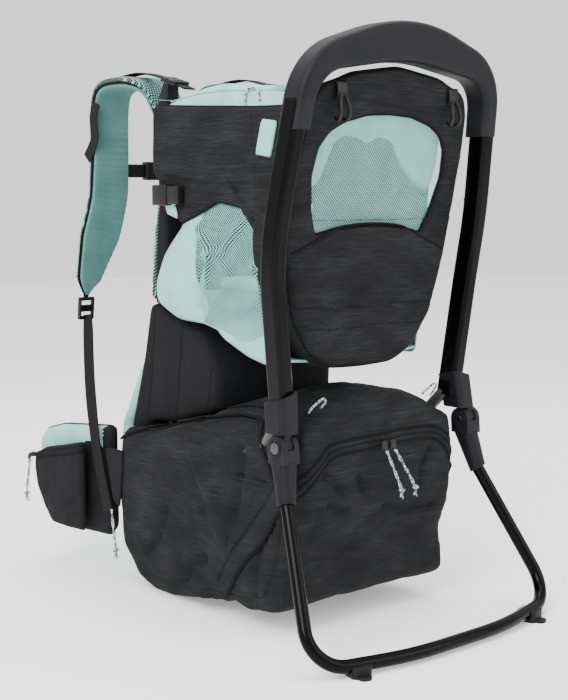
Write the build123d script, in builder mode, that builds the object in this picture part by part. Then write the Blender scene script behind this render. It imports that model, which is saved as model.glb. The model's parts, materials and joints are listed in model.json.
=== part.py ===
from build123d import *

import os
from math import radians, tan

# Framed baby carrier backpack that stands on a fold-away kickstand.
# Layout frame, in millimetres: X across the back, Y forward towards the wearer, Z up from the floor.
# Y is zero at the mouths of the kickstand sockets; save() moves each piece so that the part's own
# origin is the bottom centre of its bounding box.

# Overall layout
DEPTH_CENTRE = 231.0        # Y of the middle of the bounding box
AIR = 0.6                   # air between sewn pieces that only lie on each other
PLAY = 0.3                  # air between pieces that move past each other

# Rear hoop: a flattened tube, drawn by its front outline (X, Z) and its rake (Y, Z)
RAIL_WIDTH = 22.0
RAIL_DEPTH = 30.0
RAIL_ROUNDING = 6.0
HOOP_LINE = [(-153, 290), (-182, 508), (-164, 722), (0, 767), (164, 722), (182, 508), (153, 290)]
HOOP_RADII = [600, 75, 250, 75, 600]
RAKE_LINE = [(37, 265), (27, 470), (-26, 790)]
RAKE_RADIUS = 600.0

# Handle cover: two shells that close around the top of the hoop
COVER_DEPTH = 38.0
COVER_ROUNDING = 9.0
COVER_OUTER = [(-181, 644), (-173, 738), (0, 794.7), (173, 738), (181, 644)]
COVER_OUTER_RADII = [85, 260, 85]
COVER_INNER = [(-154, 644), (-146, 712), (0, 735), (146, 712), (154, 644)]
COVER_INNER_RADII = [45, 300, 45]
COVER_SPLIT = Plane(origin=(0, -2, 644), x_dir=(1, 0, 0), z_dir=(0, 320, 53))

# Kickstand hinge
PIVOT = (168.0, 17.0, 258.0)
PIN_RADIUS = 4.0
PIN_PLAY = 0.05
FORK_RADIUS = 15.0
TONGUE_RADIUS = 13.0
TONGUE_HALF = 5.0
FORK_HALF = 13.0
HOUSING_BASE = 274.0
HOUSING_TOP = 332.0

# Kickstand tube
TUBE_RADIUS = 8.5
TUBE_WALL = 1.6
TUBE_START = (171.9, 10.2, 206.8)
TUBE_EXIT = (177.0, 0.0, 188.0)
TUBE_CORNER = (223.0, -95.0, 14.0)
BAR_BEND = (85.0, -127.0, 12.0)
CORNER_RADIUS = 45.0
BAR_RADIUS = 400.0
FOOT_PLACE = (160.0, -109.6)
FOOT_TURN = 13.05

# Inner frame
BASE_TUBE_RADIUS = 8.0
BASE_TUBE_LINE = [(150, 40, 296), (138, 92, 238), (124, 352, 212), (-124, 352, 212), (-138, 92, 238),
                  (-150, 40, 296)]
STAY_RADIUS = 7.0
STAY_HALF = 88.0
STAY_Y = 352.0
STAY_TOP = 684.0

# Soft goods, as outlines in (Y, Z) unless said otherwise
BACK_HALF = 110.0
BACK_COLUMN = [(224, 268), (326, 238), (384, 235), (405, 214), (441, 215), (402, 332), (384, 411),
               (357, 411), (345, 399), (262, 382), (250, 366), (222, 318)]
BACK_PANEL = [(335, 413), (384, 413), (363, 559), (372, 700), (335, 700)]
LUMBAR_HALF = 112.0
LUMBAR_PAD = [(404.5, 332), (428, 325), (463, 225), (456, 120), (428, 76), (411, 78), (411, 211),
              (443.5, 213.5)]

BAND_INNER = 126.0
BAND_OUTER = 134.0
SIDE_BAND = [(330, 690), (42, 677), (66, 608), (108, 546), (196, 560), (265, 528), (311, 550), (331, 562)]
SEAT_SIDE = [(330, 546), (311, 546), (265, 524), (196, 556), (108, 542), (66, 590), (72, 350), (150, 357),
             (232, 386), (322, 404), (333, 425)]
SEAT_BULGE = 24.0           # how far the slung seat swells out of its inner wall
SEAT_BULGE_TAPER = 30.0
SEAT_BASE = [(72, 347), (150, 353), (235, 383), (322, 401), (331, 414), (331, 426), (318, 416), (230, 397),
             (148, 366), (72, 360)]

SEAT_BACK_FACE = [(50, 343), (36, 517), (-4, 677), (-10, 700), (-16, 728)]
SEAT_BACK_THICK = 14.0
SEAT_BACK_OUTLINE = [(0, 343), (58, 345), (92, 362), (124, 409), (147, 500), (149, 560), (145, 640),
                     (138, 680), (128, 698), (100, 706), (80, 715), (0, 726)]
WINDOW_OUTLINE = [(0, 526), (60, 524), (96, 518), (112, 552), (119, 590), (114, 625), (100, 645), (78, 657),
                  (40, 667), (0, 669)]

RIM_TOP = [(86, 699), (121, 706), (203, 714), (269, 704), (334, 691.5), (86, 691.5)]

# Cargo bag: side (Y, Z), front (X, Z) and plan (X, Y) outlines; the bag is what all three hold
BAG_HALF = 152.0
BAG_SIDE = [(285, 0), (340, 0), (399, 62), (408, 113), (402, 208), (383, 232), (326, 235), (222, 265),
            (198, 280), (103, 316), (36, 318), (14, 284), (7, 243), (9, 180), (39, 111), (32, 52), (50, 40),
            (104, 31), (150, 30)]
BAG_FRONT = [(-138, 0), (138, 0), (152, 20), (152, 255), (136, 274), (90, 300), (0, 318), (-90, 300),
             (-136, 274), (-152, 255), (-152, 20)]
BAG_REAR_CORNER = 55.0
BAG_FRONT_CORNER = 30.0
POCKET_THICK = 8.0
SIDE_POCKET = [(398, 70), (404, 113), (398, 206), (330, 226), (215, 222), (150, 150), (205, 50), (300, 24)]

# Shoulder harness
PAD_THICK = 16.0
PAD_LINE = [(384, 640), (390, 728), (499, 728), (502, 560), (523, 415)]
PAD_RADII = [30, 38, 200]
PAD_FRONT = [(63, 760), (63, 560), (74, 500), (108, 425), (118, 413), (132, 413), (141, 432), (141, 500),
             (128, 560), (125, 640), (125, 760)]
YOKE = [(374.5, 610), (389, 610), (389, 700), (374.5, 700)]
YOKE_HALF = 62.0
STRAP_HALF = 10.0
STRAP_THICK = 2.5

STERNUM_BAND = [(499.8, 592), (502.3, 592), (502.3, 612), (499.8, 612)]
LIFTER_LINE = [(94, 306, 729), (94, 352, 742), (94, 400, 747), (94, 452, 744)]
ADJUSTER_LINE = [(125, 523, 376), (167, 447, 225), (161.5, 417, 100)]

# Hip wings: plan (X, Y) and side (Y, Z) outlines of the right-hand wing
WING_PLAN = [(120, 431), (152, 431), (160, 500), (168, 560), (170, 594), (150, 597), (140, 560), (134, 500)]
WING_SIDE = [(428, 229), (548, 214), (590, 168), (598, 160), (598, 122), (552, 60), (442, 60), (428, 64)]
HIP_STRAP_X = 122.5
HIP_STRAP_Y = 568.0
HIP_STRAP_TOP = 152.0
HIP_POCKET_PLAN = [(162.5, 470), (170.5, 560), (172, 593), (186, 585), (184, 540), (176, 470)]
HIP_POCKET_SIDE = [(466, 192), (540, 184), (594, 158), (594, 124), (552, 63), (466, 63)]

# Zips, cord pulls and cord loops
REAR_ZIP_Z = 243.0
REAR_ZIP_HALF = 95.0
REAR_ZIP_THICK = 2.4
SLIDER_SIZE = (10, 4, 12)
SLIDER_Y = 0.9
PULL_RADIUS = 2.2
KNOT_RADIUS = 4.2
REAR_PULL_LEFT = [(-8, -4, 236), (2, -6, 214), (13, -6, 193), (20, -5, 180)]
REAR_PULL_RIGHT = [(8, -4, 236), (22, -6, 214), (37, -6, 193), (46, -5, 180)]
SIDE_PULL = [(165.5, 402, 110), (165.8, 399, 88), (166, 394, 66), (165.8, 392, 50)]
HIP_PULL = [(184, 600, 157), (186, 602, 136), (187, 605, 115), (187, 606, 102)]
LOOP_RADIUS = 1.6
BAG_LOOP = [(96, 27, 300), (97, 18, 312), (109, 18, 310), (110, 27, 296)]
RIM_LOOP = [(132.5, 104, 684), (132.5, 105, 699), (132.5, 130, 701), (132.5, 132, 686)]
CLIP_OUTLINE = [(-10, 700), (-13, 700), (-16, 664), (-8, 658), (-5, 677)]


def save(piece, name):
    """Label a piece, move it from the layout frame to the part's frame and write its STEP file."""
    placed = piece.moved(Location((0, -DEPTH_CENTRE, 0)))
    placed.label = name
    export_step(placed, f"parts/{name}.step")


def save_pair(right, name):
    """Write a right-hand piece and its mirror image."""
    with BuildPart() as left:
        mirror(right, about=Plane.YZ)
    save(right, name + "_right")
    save(left.part, name + "_left")


def slab(outline, x_from, x_to, mode=Mode.ADD):
    """Extrude a (Y, Z) outline across X, inside the current part."""
    with BuildSketch(Plane.YZ.offset(x_from)) as profile:
        with BuildLine():
            Polyline(outline, close=True)
        make_face()
    extrude(profile.sketch, amount=x_to - x_from, mode=mode)


def front_prism(outline, mode=Mode.ADD):
    """Extrude an (X, Z) outline through the whole depth, inside the current part."""
    with BuildSketch(Plane.XZ) as profile:
        with BuildLine():
            Polyline(outline, close=True)
        make_face()
    extrude(profile.sketch, amount=700, both=True, mode=mode)


def rake_band(depth, mode=Mode.ADD):
    """Extrude the raked side profile of the hoop, depth thick, across X."""
    with BuildSketch(Plane.YZ) as profile:
        with BuildLine():
            FilletPolyline(RAKE_LINE, radius=[RAKE_RADIUS])
        trace(line_width=depth)
    extrude(profile.sketch, amount=250, both=True, mode=mode)


def mirrored_outline(half):
    """Close a right-hand (X, Z) outline that starts and ends on the symmetry plane."""
    inner = [point for point in half if point[0] > 0]
    return half + [(-x, z) for x, z in reversed(inner)]


def pipe(points, radii, radius, mode=Mode.ADD):
    """Sweep a solid round bar along straight runs joined by tangent arcs."""
    with BuildLine() as route:
        FilletPolyline(points, radius=radii)
    with BuildSketch(Plane(origin=route.line @ 0, z_dir=route.line % 0)) as section:
        Circle(radius)
    sweep(section.sketch, path=route.line, mode=mode)


def along(start, end):
    """Plane at start whose normal points at end."""
    return Plane(origin=start, z_dir=Vector(*end) - Vector(*start))


# ---- Rear hoop and its handle cover -------------------------------------------------------------

with BuildPart() as rear_hoop:
    with BuildSketch(Plane.XZ):
        with BuildLine():
            FilletPolyline(HOOP_LINE, radius=HOOP_RADII)
        trace(line_width=RAIL_WIDTH)
    extrude(amount=150, both=True)
    rake_band(RAIL_DEPTH, mode=Mode.INTERSECT)
    long_edges = [edge for edge in rear_hoop.edges() if edge.center().Z > 300]
    fillet(long_edges, RAIL_ROUNDING)
save(rear_hoop.part, "rear_hoop")

with BuildPart() as cover_blank:
    with BuildSketch(Plane.XZ):
        with BuildLine():
            outer = FilletPolyline(COVER_OUTER, radius=COVER_OUTER_RADII)
            inner = FilletPolyline(COVER_INNER, radius=COVER_INNER_RADII)
            Line(outer @ 0, inner @ 0)
            Line(outer @ 1, inner @ 1)
        make_face()
    extrude(amount=150, both=True)
    rake_band(COVER_DEPTH, mode=Mode.INTERSECT)
    fillet([edge for edge in cover_blank.edges() if edge.center().Z > 650], COVER_ROUNDING)

for cover_name, kept_side in (("handle_cover_front", Keep.TOP), ("handle_cover_rear", Keep.BOTTOM)):
    with BuildPart() as cover_shell:
        add(cover_blank.part)
        split(bisect_by=COVER_SPLIT, keep=kept_side)
        add(rear_hoop.part, mode=Mode.SUBTRACT)
    save(cover_shell.part, cover_name)

# ---- Hinge housings and pins --------------------------------------------------------------------

with BuildPart() as housing:
    with BuildSketch(Plane.XY.offset(HOUSING_BASE)):
        with Locations((163, 25)):
            RectangleRounded(30, 37, 8)
    with BuildSketch(Plane.XY.offset(HOUSING_TOP)):
        with Locations((158.5, 33.5)):
            RectangleRounded(31, 39, 8)
    loft()
    with BuildSketch(Plane.YZ.offset(PIVOT[0])):
        with Locations(PIVOT[1:]):
            Circle(TONGUE_RADIUS)
            Rectangle(18, 26, align=(Align.CENTER, Align.MIN))
    extrude(amount=TONGUE_HALF, both=True)
    with BuildSketch(Plane.YZ.offset(PIVOT[0])):
        with Locations(PIVOT[1:]):
            Circle(PIN_RADIUS)
    extrude(amount=FORK_HALF, both=True, mode=Mode.SUBTRACT)
    split(bisect_by=Plane(origin=(158, 33, 318), z_dir=(0.28, 0.22, 1)), keep=Keep.BOTTOM)
    add(rear_hoop.part, mode=Mode.SUBTRACT)
save_pair(housing.part, "hinge_housing")

with BuildPart() as hinge_pins:
    for side in (-1, 1):
        with BuildSketch(Plane.YZ.offset(side * PIVOT[0])):
            with Locations(PIVOT[1:]):
                Circle(PIN_RADIUS)
        extrude(amount=FORK_HALF + PLAY, both=True)
        with BuildSketch(Plane.YZ.offset(side * (PIVOT[0] + FORK_HALF + PLAY))):
            with Locations(PIVOT[1:]):
                Circle(7.5)
        extrude(amount=side * 1.6)
save(hinge_pins.part, "hinge_pins")

# ---- Kickstand ----------------------------------------------------------------------------------


def flip(point):
    """Mirror a 3-D point across the symmetry plane."""
    return (-point[0], point[1], point[2])


kickstand_points = [TUBE_START, TUBE_CORNER, BAR_BEND, flip(BAR_BEND), flip(TUBE_CORNER), flip(TUBE_START)]
kickstand_radii = [CORNER_RADIUS, BAR_RADIUS, BAR_RADIUS, CORNER_RADIUS]
with BuildPart() as kickstand_solid:
    pipe(kickstand_points, kickstand_radii, TUBE_RADIUS)
with BuildPart() as kickstand_tube:
    add(kickstand_solid.part)
    pipe(kickstand_points, kickstand_radii, TUBE_RADIUS - TUBE_WALL, mode=Mode.SUBTRACT)
save(kickstand_tube.part, "kickstand_tube")

with BuildPart() as socket:
    with BuildSketch(Plane.XY.offset(240)):
        with Locations((PIVOT[0], 16)):
            RectangleRounded(2 * FORK_HALF, 32, 10)
    with BuildSketch(along(TUBE_EXIT, TUBE_START)):
        Circle(TUBE_RADIUS + 3.2)
    loft()
    with BuildSketch(Plane.YZ.offset(PIVOT[0])):
        with Locations(PIVOT[1:]):
            Circle(FORK_RADIUS)
        with Locations((15.5, 240)):
            Rectangle(30, 4)
        make_hull()
    extrude(amount=FORK_HALF, both=True)
    with BuildSketch(Plane.YZ.offset(PIVOT[0])):
        with Locations(PIVOT[1:]):
            Circle(TONGUE_RADIUS + 0.8)
        with Locations((PIVOT[1], PIVOT[2] - 2)):
            Rectangle(60, 40, align=(Align.CENTER, Align.MIN))
    extrude(amount=TONGUE_HALF + PLAY, both=True, mode=Mode.SUBTRACT)
    with BuildSketch(Plane.YZ.offset(PIVOT[0])):
        with Locations(PIVOT[1:]):
            Circle(PIN_RADIUS + PIN_PLAY)
    extrude(amount=FORK_HALF + 2, both=True, mode=Mode.SUBTRACT)
    add(kickstand_solid.part, mode=Mode.SUBTRACT)
save_pair(socket.part, "kickstand_socket")

with BuildPart() as feet:
    for side in (-1, 1):
        under_bar = Location((side * FOOT_PLACE[0], FOOT_PLACE[1], 0), (0, 0, side * FOOT_TURN))
        with BuildSketch(Plane(under_bar)):
            RectangleRounded(27, 27, 6)
        extrude(amount=15)
        with BuildSketch(Plane(under_bar)):
            RectangleRounded(16, 46, 6)
        extrude(amount=4)
    add(kickstand_solid.part, mode=Mode.SUBTRACT)
save(feet.part, "feet")

# ---- Inner frame --------------------------------------------------------------------------------

with BuildPart() as base_frame_tube:
    pipe(BASE_TUBE_LINE, [50, 45, 45, 50], BASE_TUBE_RADIUS)
    add(rear_hoop.part, mode=Mode.SUBTRACT)
    add(housing.part, mode=Mode.SUBTRACT)
    add(mirror(housing.part, about=Plane.YZ, mode=Mode.PRIVATE), mode=Mode.SUBTRACT)
save(base_frame_tube.part, "base_frame_tube")

with BuildPart() as back_frame_tube:
    stay_foot = BASE_TUBE_LINE[2][2] + BASE_TUBE_RADIUS + PLAY
    stay_line = [(STAY_HALF, STAY_Y, stay_foot), (STAY_HALF, STAY_Y, STAY_TOP),
                 (-STAY_HALF, STAY_Y, STAY_TOP), (-STAY_HALF, STAY_Y, stay_foot)]
    pipe(stay_line, [40, 40], STAY_RADIUS)
save(back_frame_tube.part, "back_frame_tube")

# ---- Back, lumbar pad and seat ------------------------------------------------------------------

with BuildPart() as back_column:
    slab(BACK_COLUMN, -BACK_HALF, BACK_HALF)
    add(back_frame_tube.part, mode=Mode.SUBTRACT)
save(back_column.part, "back_column")

with BuildPart() as back_panel:
    slab(BACK_PANEL, -BACK_HALF, BACK_HALF)
    add(back_frame_tube.part, mode=Mode.SUBTRACT)
save(back_panel.part, "back_panel")

with BuildPart() as lumbar_pad:
    slab(LUMBAR_PAD, -LUMBAR_HALF, LUMBAR_HALF)
save(lumbar_pad.part, "lumbar_pad")

with BuildPart() as side_band:
    slab(SIDE_BAND, BAND_INNER, BAND_OUTER)
save_pair(side_band.part, "side_band")

with BuildPart() as seat_side:
    with BuildSketch(Plane.YZ.offset(BAND_INNER - 6)) as seat_side_profile:
        with BuildLine():
            Polyline(SEAT_SIDE, close=True)
        make_face()
    extrude(seat_side_profile.sketch, amount=SEAT_BULGE, taper=SEAT_BULGE_TAPER)
save_pair(seat_side.part, "seat_side")

with BuildPart() as seat_base:
    slab(SEAT_BASE, -(BAND_INNER - 6 - AIR), BAND_INNER - 6 - AIR)
save(seat_base.part, "seat_base")

seat_back_profile = SEAT_BACK_FACE + [(y + SEAT_BACK_THICK, z) for y, z in reversed(SEAT_BACK_FACE)]
with BuildPart() as seat_mesh_window:
    window_face = [(y + 4, z) for y, z in SEAT_BACK_FACE]
    window_back = [(y + 7, z) for y, z in reversed(SEAT_BACK_FACE)]
    slab(window_face + window_back, -160, 160)
    front_prism(mirrored_outline(WINDOW_OUTLINE), mode=Mode.INTERSECT)
save(seat_mesh_window.part, "seat_mesh_window")

with BuildPart() as seat_back_panel:
    slab(seat_back_profile, -160, 160)
    front_prism(mirrored_outline(SEAT_BACK_OUTLINE), mode=Mode.INTERSECT)
    front_prism(mirrored_outline(WINDOW_OUTLINE), mode=Mode.SUBTRACT)
save(seat_back_panel.part, "seat_back_panel")

with BuildPart() as seat_rim:
    slab(RIM_TOP, -(BAND_INNER + 4), BAND_INNER + 4)
    with Locations((0, 80, 700)):
        Box(144, 390, 60, mode=Mode.SUBTRACT)
save(seat_rim.part, "seat_rim")

with BuildPart() as seat_saddle:
    with Locations((0, 225, 440)):
        Box(120, 130, 24)
    fillet(seat_saddle.edges().filter_by(Axis.Z), 25)
save(seat_saddle.part, "seat_saddle")

with BuildPart() as child_harness:
    for side in (-1, 1):
        slab([(78, 470), (90, 470), (62, 640), (50, 640)], side * 30, side * 62)
save(child_harness.part, "child_harness")

# ---- Cargo bag ----------------------------------------------------------------------------------

with BuildPart() as cargo_bag:
    slab(BAG_SIDE, -BAG_HALF, BAG_HALF)
    front_prism(BAG_FRONT, mode=Mode.INTERSECT)
    with BuildSketch(Plane.XY):
        with Locations((0, 207)):
            Rectangle(2 * BAG_HALF, 420)
        rear_corners = [vertex for vertex in vertices() if vertex.Y < 100]
        fillet(rear_corners, BAG_REAR_CORNER)
        front_corners = vertices().group_by(Axis.Y)[-1]
        fillet(front_corners, BAG_FRONT_CORNER)
    extrude(amount=800, mode=Mode.INTERSECT)
    add(base_frame_tube.part, mode=Mode.SUBTRACT)
    add(back_frame_tube.part, mode=Mode.SUBTRACT)
    add(housing.part, mode=Mode.SUBTRACT)
    add(mirror(housing.part, about=Plane.YZ, mode=Mode.PRIVATE), mode=Mode.SUBTRACT)
save(cargo_bag.part, "cargo_bag")

with BuildPart() as rear_zip_track:
    with Locations((0, SLIDER_Y + SLIDER_SIZE[1] / 2 + 0.5 + REAR_ZIP_THICK / 2, REAR_ZIP_Z)):
        Box(2 * REAR_ZIP_HALF, REAR_ZIP_THICK, 12)
save(rear_zip_track.part, "rear_zip_track")


# ---- Zip sliders and the cord pulls that hang from them -----------------------------------------


def cord_radii(name, points):
    """The largest arcs that a cord's runs leave room for; each is printed."""
    stations = [Vector(*point) for point in points]
    runs = [end - start for start, end in zip(stations, stations[1:])]
    radii = []
    for before, after in zip(runs, runs[1:]):
        half_turn = radians(before.get_angle(after)) / 2
        radii.append(0.45 * min(before.length, after.length) / tan(half_turn))
    print(name, "arc radii", [round(radius, 1) for radius in radii])
    return radii


def cord_pull(name, points):
    """A short limp cord that hangs from a slider and ends in a knot."""
    pipe(points, cord_radii(name, points), PULL_RADIUS)
    with Locations(points[-1]):
        Sphere(KNOT_RADIUS)


for hand, slider_x, pull_line in (("left", -8, REAR_PULL_LEFT), ("right", 8, REAR_PULL_RIGHT)):
    with BuildPart() as rear_slider:
        with Locations((slider_x, SLIDER_Y, REAR_ZIP_Z)):
            Box(*SLIDER_SIZE)
    save(rear_slider.part, f"rear_zip_slider_{hand}")
    with BuildPart() as rear_pull:
        cord_pull(f"rear pull {hand}", pull_line)
    save(rear_pull.part, f"rear_pull_{hand}")

with BuildPart() as side_pockets:
    for side in (-1, 1):
        slab(SIDE_POCKET, side * (BAG_HALF + PLAY), side * (BAG_HALF + POCKET_THICK))
        with Locations((side * 163.5, 402, 117.3)):
            Box(8, 9, 9)
save(side_pockets.part, "side_pockets")

with BuildPart() as side_pull:
    cord_pull("side pull", SIDE_PULL)
save_pair(side_pull.part, "side_pull")

# ---- Small fittings on the bag and the seat -----------------------------------------------------

with BuildPart() as gear_loops:
    for side in (-1, 1):
        for loop_line in (BAG_LOOP, RIM_LOOP):
            pipe([(side * x, y, z) for x, y, z in loop_line], [6, 6], LOOP_RADIUS)
save(gear_loops.part, "gear_loops")

with BuildPart() as seat_clips:
    for side in (-1, 1):
        slab(CLIP_OUTLINE, side * 92, side * 108)
save(seat_clips.part, "seat_clips")


def buckle_socket(place):
    """Side-release buckle body, open towards the local +X of place."""
    with Locations(place):
        with Locations((-14, 0, 0)):
            Box(32, 14, 28)
        with Locations((-8, 0, 0)):
            Box(20, 7, 18, mode=Mode.SUBTRACT)


def buckle_tongue(place):
    """Side-release buckle tongue, seated in a socket at the same place."""
    with Locations(place):
        with Locations((15.3, 0, 0)):
            Box(26, 11, 24)
        with Locations((-7, 0, 0)):
            Box(20, 6, 17)
            Box(14, 7, 6, mode=Mode.SUBTRACT)


def ladder_lock(place):
    """Strap adjuster: a flat frame with a middle bar, its length along the local Y of place."""
    with Locations(place):
        Box(26, 34, 7)
        for slot_y in (-8.5, 8.5):
            with Locations((0, slot_y, 0)):
                Box(19, 7, 8, mode=Mode.SUBTRACT)


side_buckle_place = Location((142, 286, 566), (0, 0, -90))
with BuildPart() as side_buckle_sockets:
    buckle_socket(side_buckle_place)
    mirror(about=Plane.YZ)
save(side_buckle_sockets.part, "side_buckle_sockets")
with BuildPart() as side_buckle_tongue:
    buckle_tongue(side_buckle_place)
save_pair(side_buckle_tongue.part, "side_buckle_tongue")

# ---- Shoulder harness ---------------------------------------------------------------------------

with BuildPart() as yoke:
    slab(YOKE, -YOKE_HALF, YOKE_HALF)
save(yoke.part, "yoke")

with BuildPart() as shoulder_pad:
    with BuildSketch(Plane.YZ):
        with BuildLine():
            FilletPolyline(PAD_LINE, radius=PAD_RADII)
        trace(line_width=PAD_THICK)
    extrude(amount=200)
    front_prism(PAD_FRONT, mode=Mode.INTERSECT)
save_pair(shoulder_pad.part, "shoulder_pad")


def webbing(points, radii, x_dir):
    """A flat strap along a route; x_dir is the direction of the strap's width at its start."""
    with BuildLine() as route:
        FilletPolyline(points, radius=radii)
    start = Plane(origin=route.line @ 0, x_dir=x_dir, z_dir=route.line % 0)
    with BuildSketch(start) as section:
        Rectangle(2 * STRAP_HALF, STRAP_THICK)
    sweep(section.sketch, path=route.line)


with BuildPart() as load_lifters:
    webbing(LIFTER_LINE, [30, 60], (1, 0, 0))
    mirror(about=Plane.YZ)
save(load_lifters.part, "load_lifters")

with BuildPart() as upper_ladder_locks:
    ladder_lock(Location((94, 334, 724), (15, 0, 0)))
    slab([(338, 700.5), (362, 700.5), (347, 724), (338, 722)], 84, 104)
    mirror(about=Plane.YZ)
save(upper_ladder_locks.part, "upper_ladder_locks")

with BuildPart() as lower_ladder_locks:
    ladder_lock(Location((125, 524.5, 394.5), (96, 0, 0)))
    mirror(about=Plane.YZ)
save(lower_ladder_locks.part, "lower_ladder_locks")

with BuildPart() as adjuster_straps:
    webbing(ADJUSTER_LINE, [120], (0, 1, 0.5))
    mirror(about=Plane.YZ)
save(adjuster_straps.part, "adjuster_straps")

sternum_place = Location((0, 501, 602))
with BuildPart() as sternum_socket:
    buckle_socket(sternum_place)
save(sternum_socket.part, "sternum_socket")
with BuildPart() as sternum_tongue:
    buckle_tongue(sternum_place)
save(sternum_tongue.part, "sternum_tongue")
for hand, x_from, x_to in (("left", -62.7, -30.3), ("right", 28.6, 62.7)):
    with BuildPart() as sternum_strap:
        slab(STERNUM_BAND, x_from, x_to)
    save(sternum_strap.part, f"sternum_strap_{hand}")

# ---- Hip wings ----------------------------------------------------------------------------------


def wing_solid(plan, side_outline):
    """What a plan outline and a side outline both hold, inside the current part."""
    with BuildSketch(Plane.XY) as footprint:
        with BuildLine():
            Polyline(plan, close=True)
        make_face()
    extrude(footprint.sketch, amount=300)
    slab(side_outline, 100, 200, mode=Mode.INTERSECT)


with BuildPart() as hip_wing:
    wing_solid(WING_PLAN, WING_SIDE)
    with Locations((HIP_STRAP_X + STRAP_THICK / 2 + PLAY, HIP_STRAP_Y, HIP_STRAP_TOP)):
        Box(24, 2 * STRAP_HALF, 12, align=(Align.MIN, Align.CENTER, Align.CENTER))
save_pair(hip_wing.part, "hip_wing")

with BuildPart() as hip_pocket:
    wing_solid(HIP_POCKET_PLAN, HIP_POCKET_SIDE)
    with Locations((182, 592, 163)):
        Box(8, 14, 9)
save_pair(hip_pocket.part, "hip_pocket")

with BuildPart() as hip_pull:
    cord_pull("hip pull", HIP_PULL)
save_pair(hip_pull.part, "hip_pull")

with BuildPart() as hip_strap:
    with Locations((HIP_STRAP_X, HIP_STRAP_Y, 124)):
        Box(STRAP_THICK, 2 * STRAP_HALF, 56)
    with Locations((HIP_STRAP_X, HIP_STRAP_Y, 93)):
        Box(7, 26, 8)
save_pair(hip_strap.part, "hip_strap")
with BuildPart() as hip_socket:
    buckle_socket(Plane((-HIP_STRAP_X, HIP_STRAP_Y, 58), x_dir=(0, 0, -1), z_dir=(0, -1, 0)).location)
save(hip_socket.part, "hip_socket")
with BuildPart() as hip_tongue:
    buckle_tongue(Plane((HIP_STRAP_X, HIP_STRAP_Y, 60), x_dir=(0, 0, 1), z_dir=(0, 1, 0)).location)
save(hip_tongue.part, "hip_tongue")
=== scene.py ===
import json
import math

import bmesh
import bpy
import numpy as np
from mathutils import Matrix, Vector, noise
from mathutils.bvhtree import BVHTree

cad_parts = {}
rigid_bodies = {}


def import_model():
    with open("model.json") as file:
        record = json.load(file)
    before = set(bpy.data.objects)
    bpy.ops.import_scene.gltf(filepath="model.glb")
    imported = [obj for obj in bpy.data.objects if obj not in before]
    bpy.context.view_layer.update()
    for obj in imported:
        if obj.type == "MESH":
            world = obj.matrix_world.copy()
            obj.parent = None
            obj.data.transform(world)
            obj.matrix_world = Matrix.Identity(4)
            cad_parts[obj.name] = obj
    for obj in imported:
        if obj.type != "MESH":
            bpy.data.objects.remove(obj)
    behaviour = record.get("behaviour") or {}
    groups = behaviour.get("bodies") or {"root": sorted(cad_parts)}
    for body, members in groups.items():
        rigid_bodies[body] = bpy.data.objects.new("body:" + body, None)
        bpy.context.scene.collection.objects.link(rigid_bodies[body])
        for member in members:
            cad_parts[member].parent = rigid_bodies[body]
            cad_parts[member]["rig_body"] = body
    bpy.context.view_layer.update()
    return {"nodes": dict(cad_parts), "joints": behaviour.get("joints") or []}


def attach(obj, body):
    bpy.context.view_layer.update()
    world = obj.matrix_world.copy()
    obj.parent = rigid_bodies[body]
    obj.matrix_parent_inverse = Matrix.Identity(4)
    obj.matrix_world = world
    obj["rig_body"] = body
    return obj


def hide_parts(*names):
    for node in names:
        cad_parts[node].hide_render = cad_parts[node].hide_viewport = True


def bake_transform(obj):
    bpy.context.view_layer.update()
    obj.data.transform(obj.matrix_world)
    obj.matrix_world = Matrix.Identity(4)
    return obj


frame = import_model()

# Looks of a framed baby carrier backpack. Shapes are given in the part's layout frame, in
# millimetres: X across, Y forwards to the wearer from the kickstand's sockets, Z up. to_frame()
# turns them into the frame's metres.
MM = 0.001
PIVOT_Y = 17.0
PIVOT_Z = 258.0
kickstand_hinge = next(joint for joint in frame["joints"] if joint["name"] == "kickstand_fold")
DEPTH_SHIFT = kickstand_hinge["pos_m"][1] / MM - PIVOT_Y
SIDES = (("left", -1), ("right", 1))


def to_frame(points):
    """Layout millimetres to the frame's metres."""
    return (np.asarray(points, float) + (0.0, DEPTH_SHIFT, 0.0)) * MM


# ---- Camera -------------------------------------------------------------------------------------

CAMERA_PLACE = (-1243.7, -1222.0, 573.0)
CAMERA_TURN = math.radians(41.0)
CAMERA_DROP = math.radians(6.75)
CAMERA_LENS = 69.52

camera = bpy.data.objects.new("camera", bpy.data.cameras.new("camera"))
bpy.context.scene.collection.objects.link(camera)
camera.data.lens = CAMERA_LENS
camera.data.sensor_width = 36.0
camera.location = to_frame(CAMERA_PLACE)
looking = Vector((math.sin(CAMERA_TURN) * math.cos(CAMERA_DROP),
                  math.cos(CAMERA_TURN) * math.cos(CAMERA_DROP),
                  -math.sin(CAMERA_DROP)))
camera.rotation_mode = "QUATERNION"
camera.rotation_quaternion = looking.to_track_quat("-Z", "Y")
bpy.context.scene.camera = camera


# ---- Materials ----------------------------------------------------------------------------------


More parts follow.
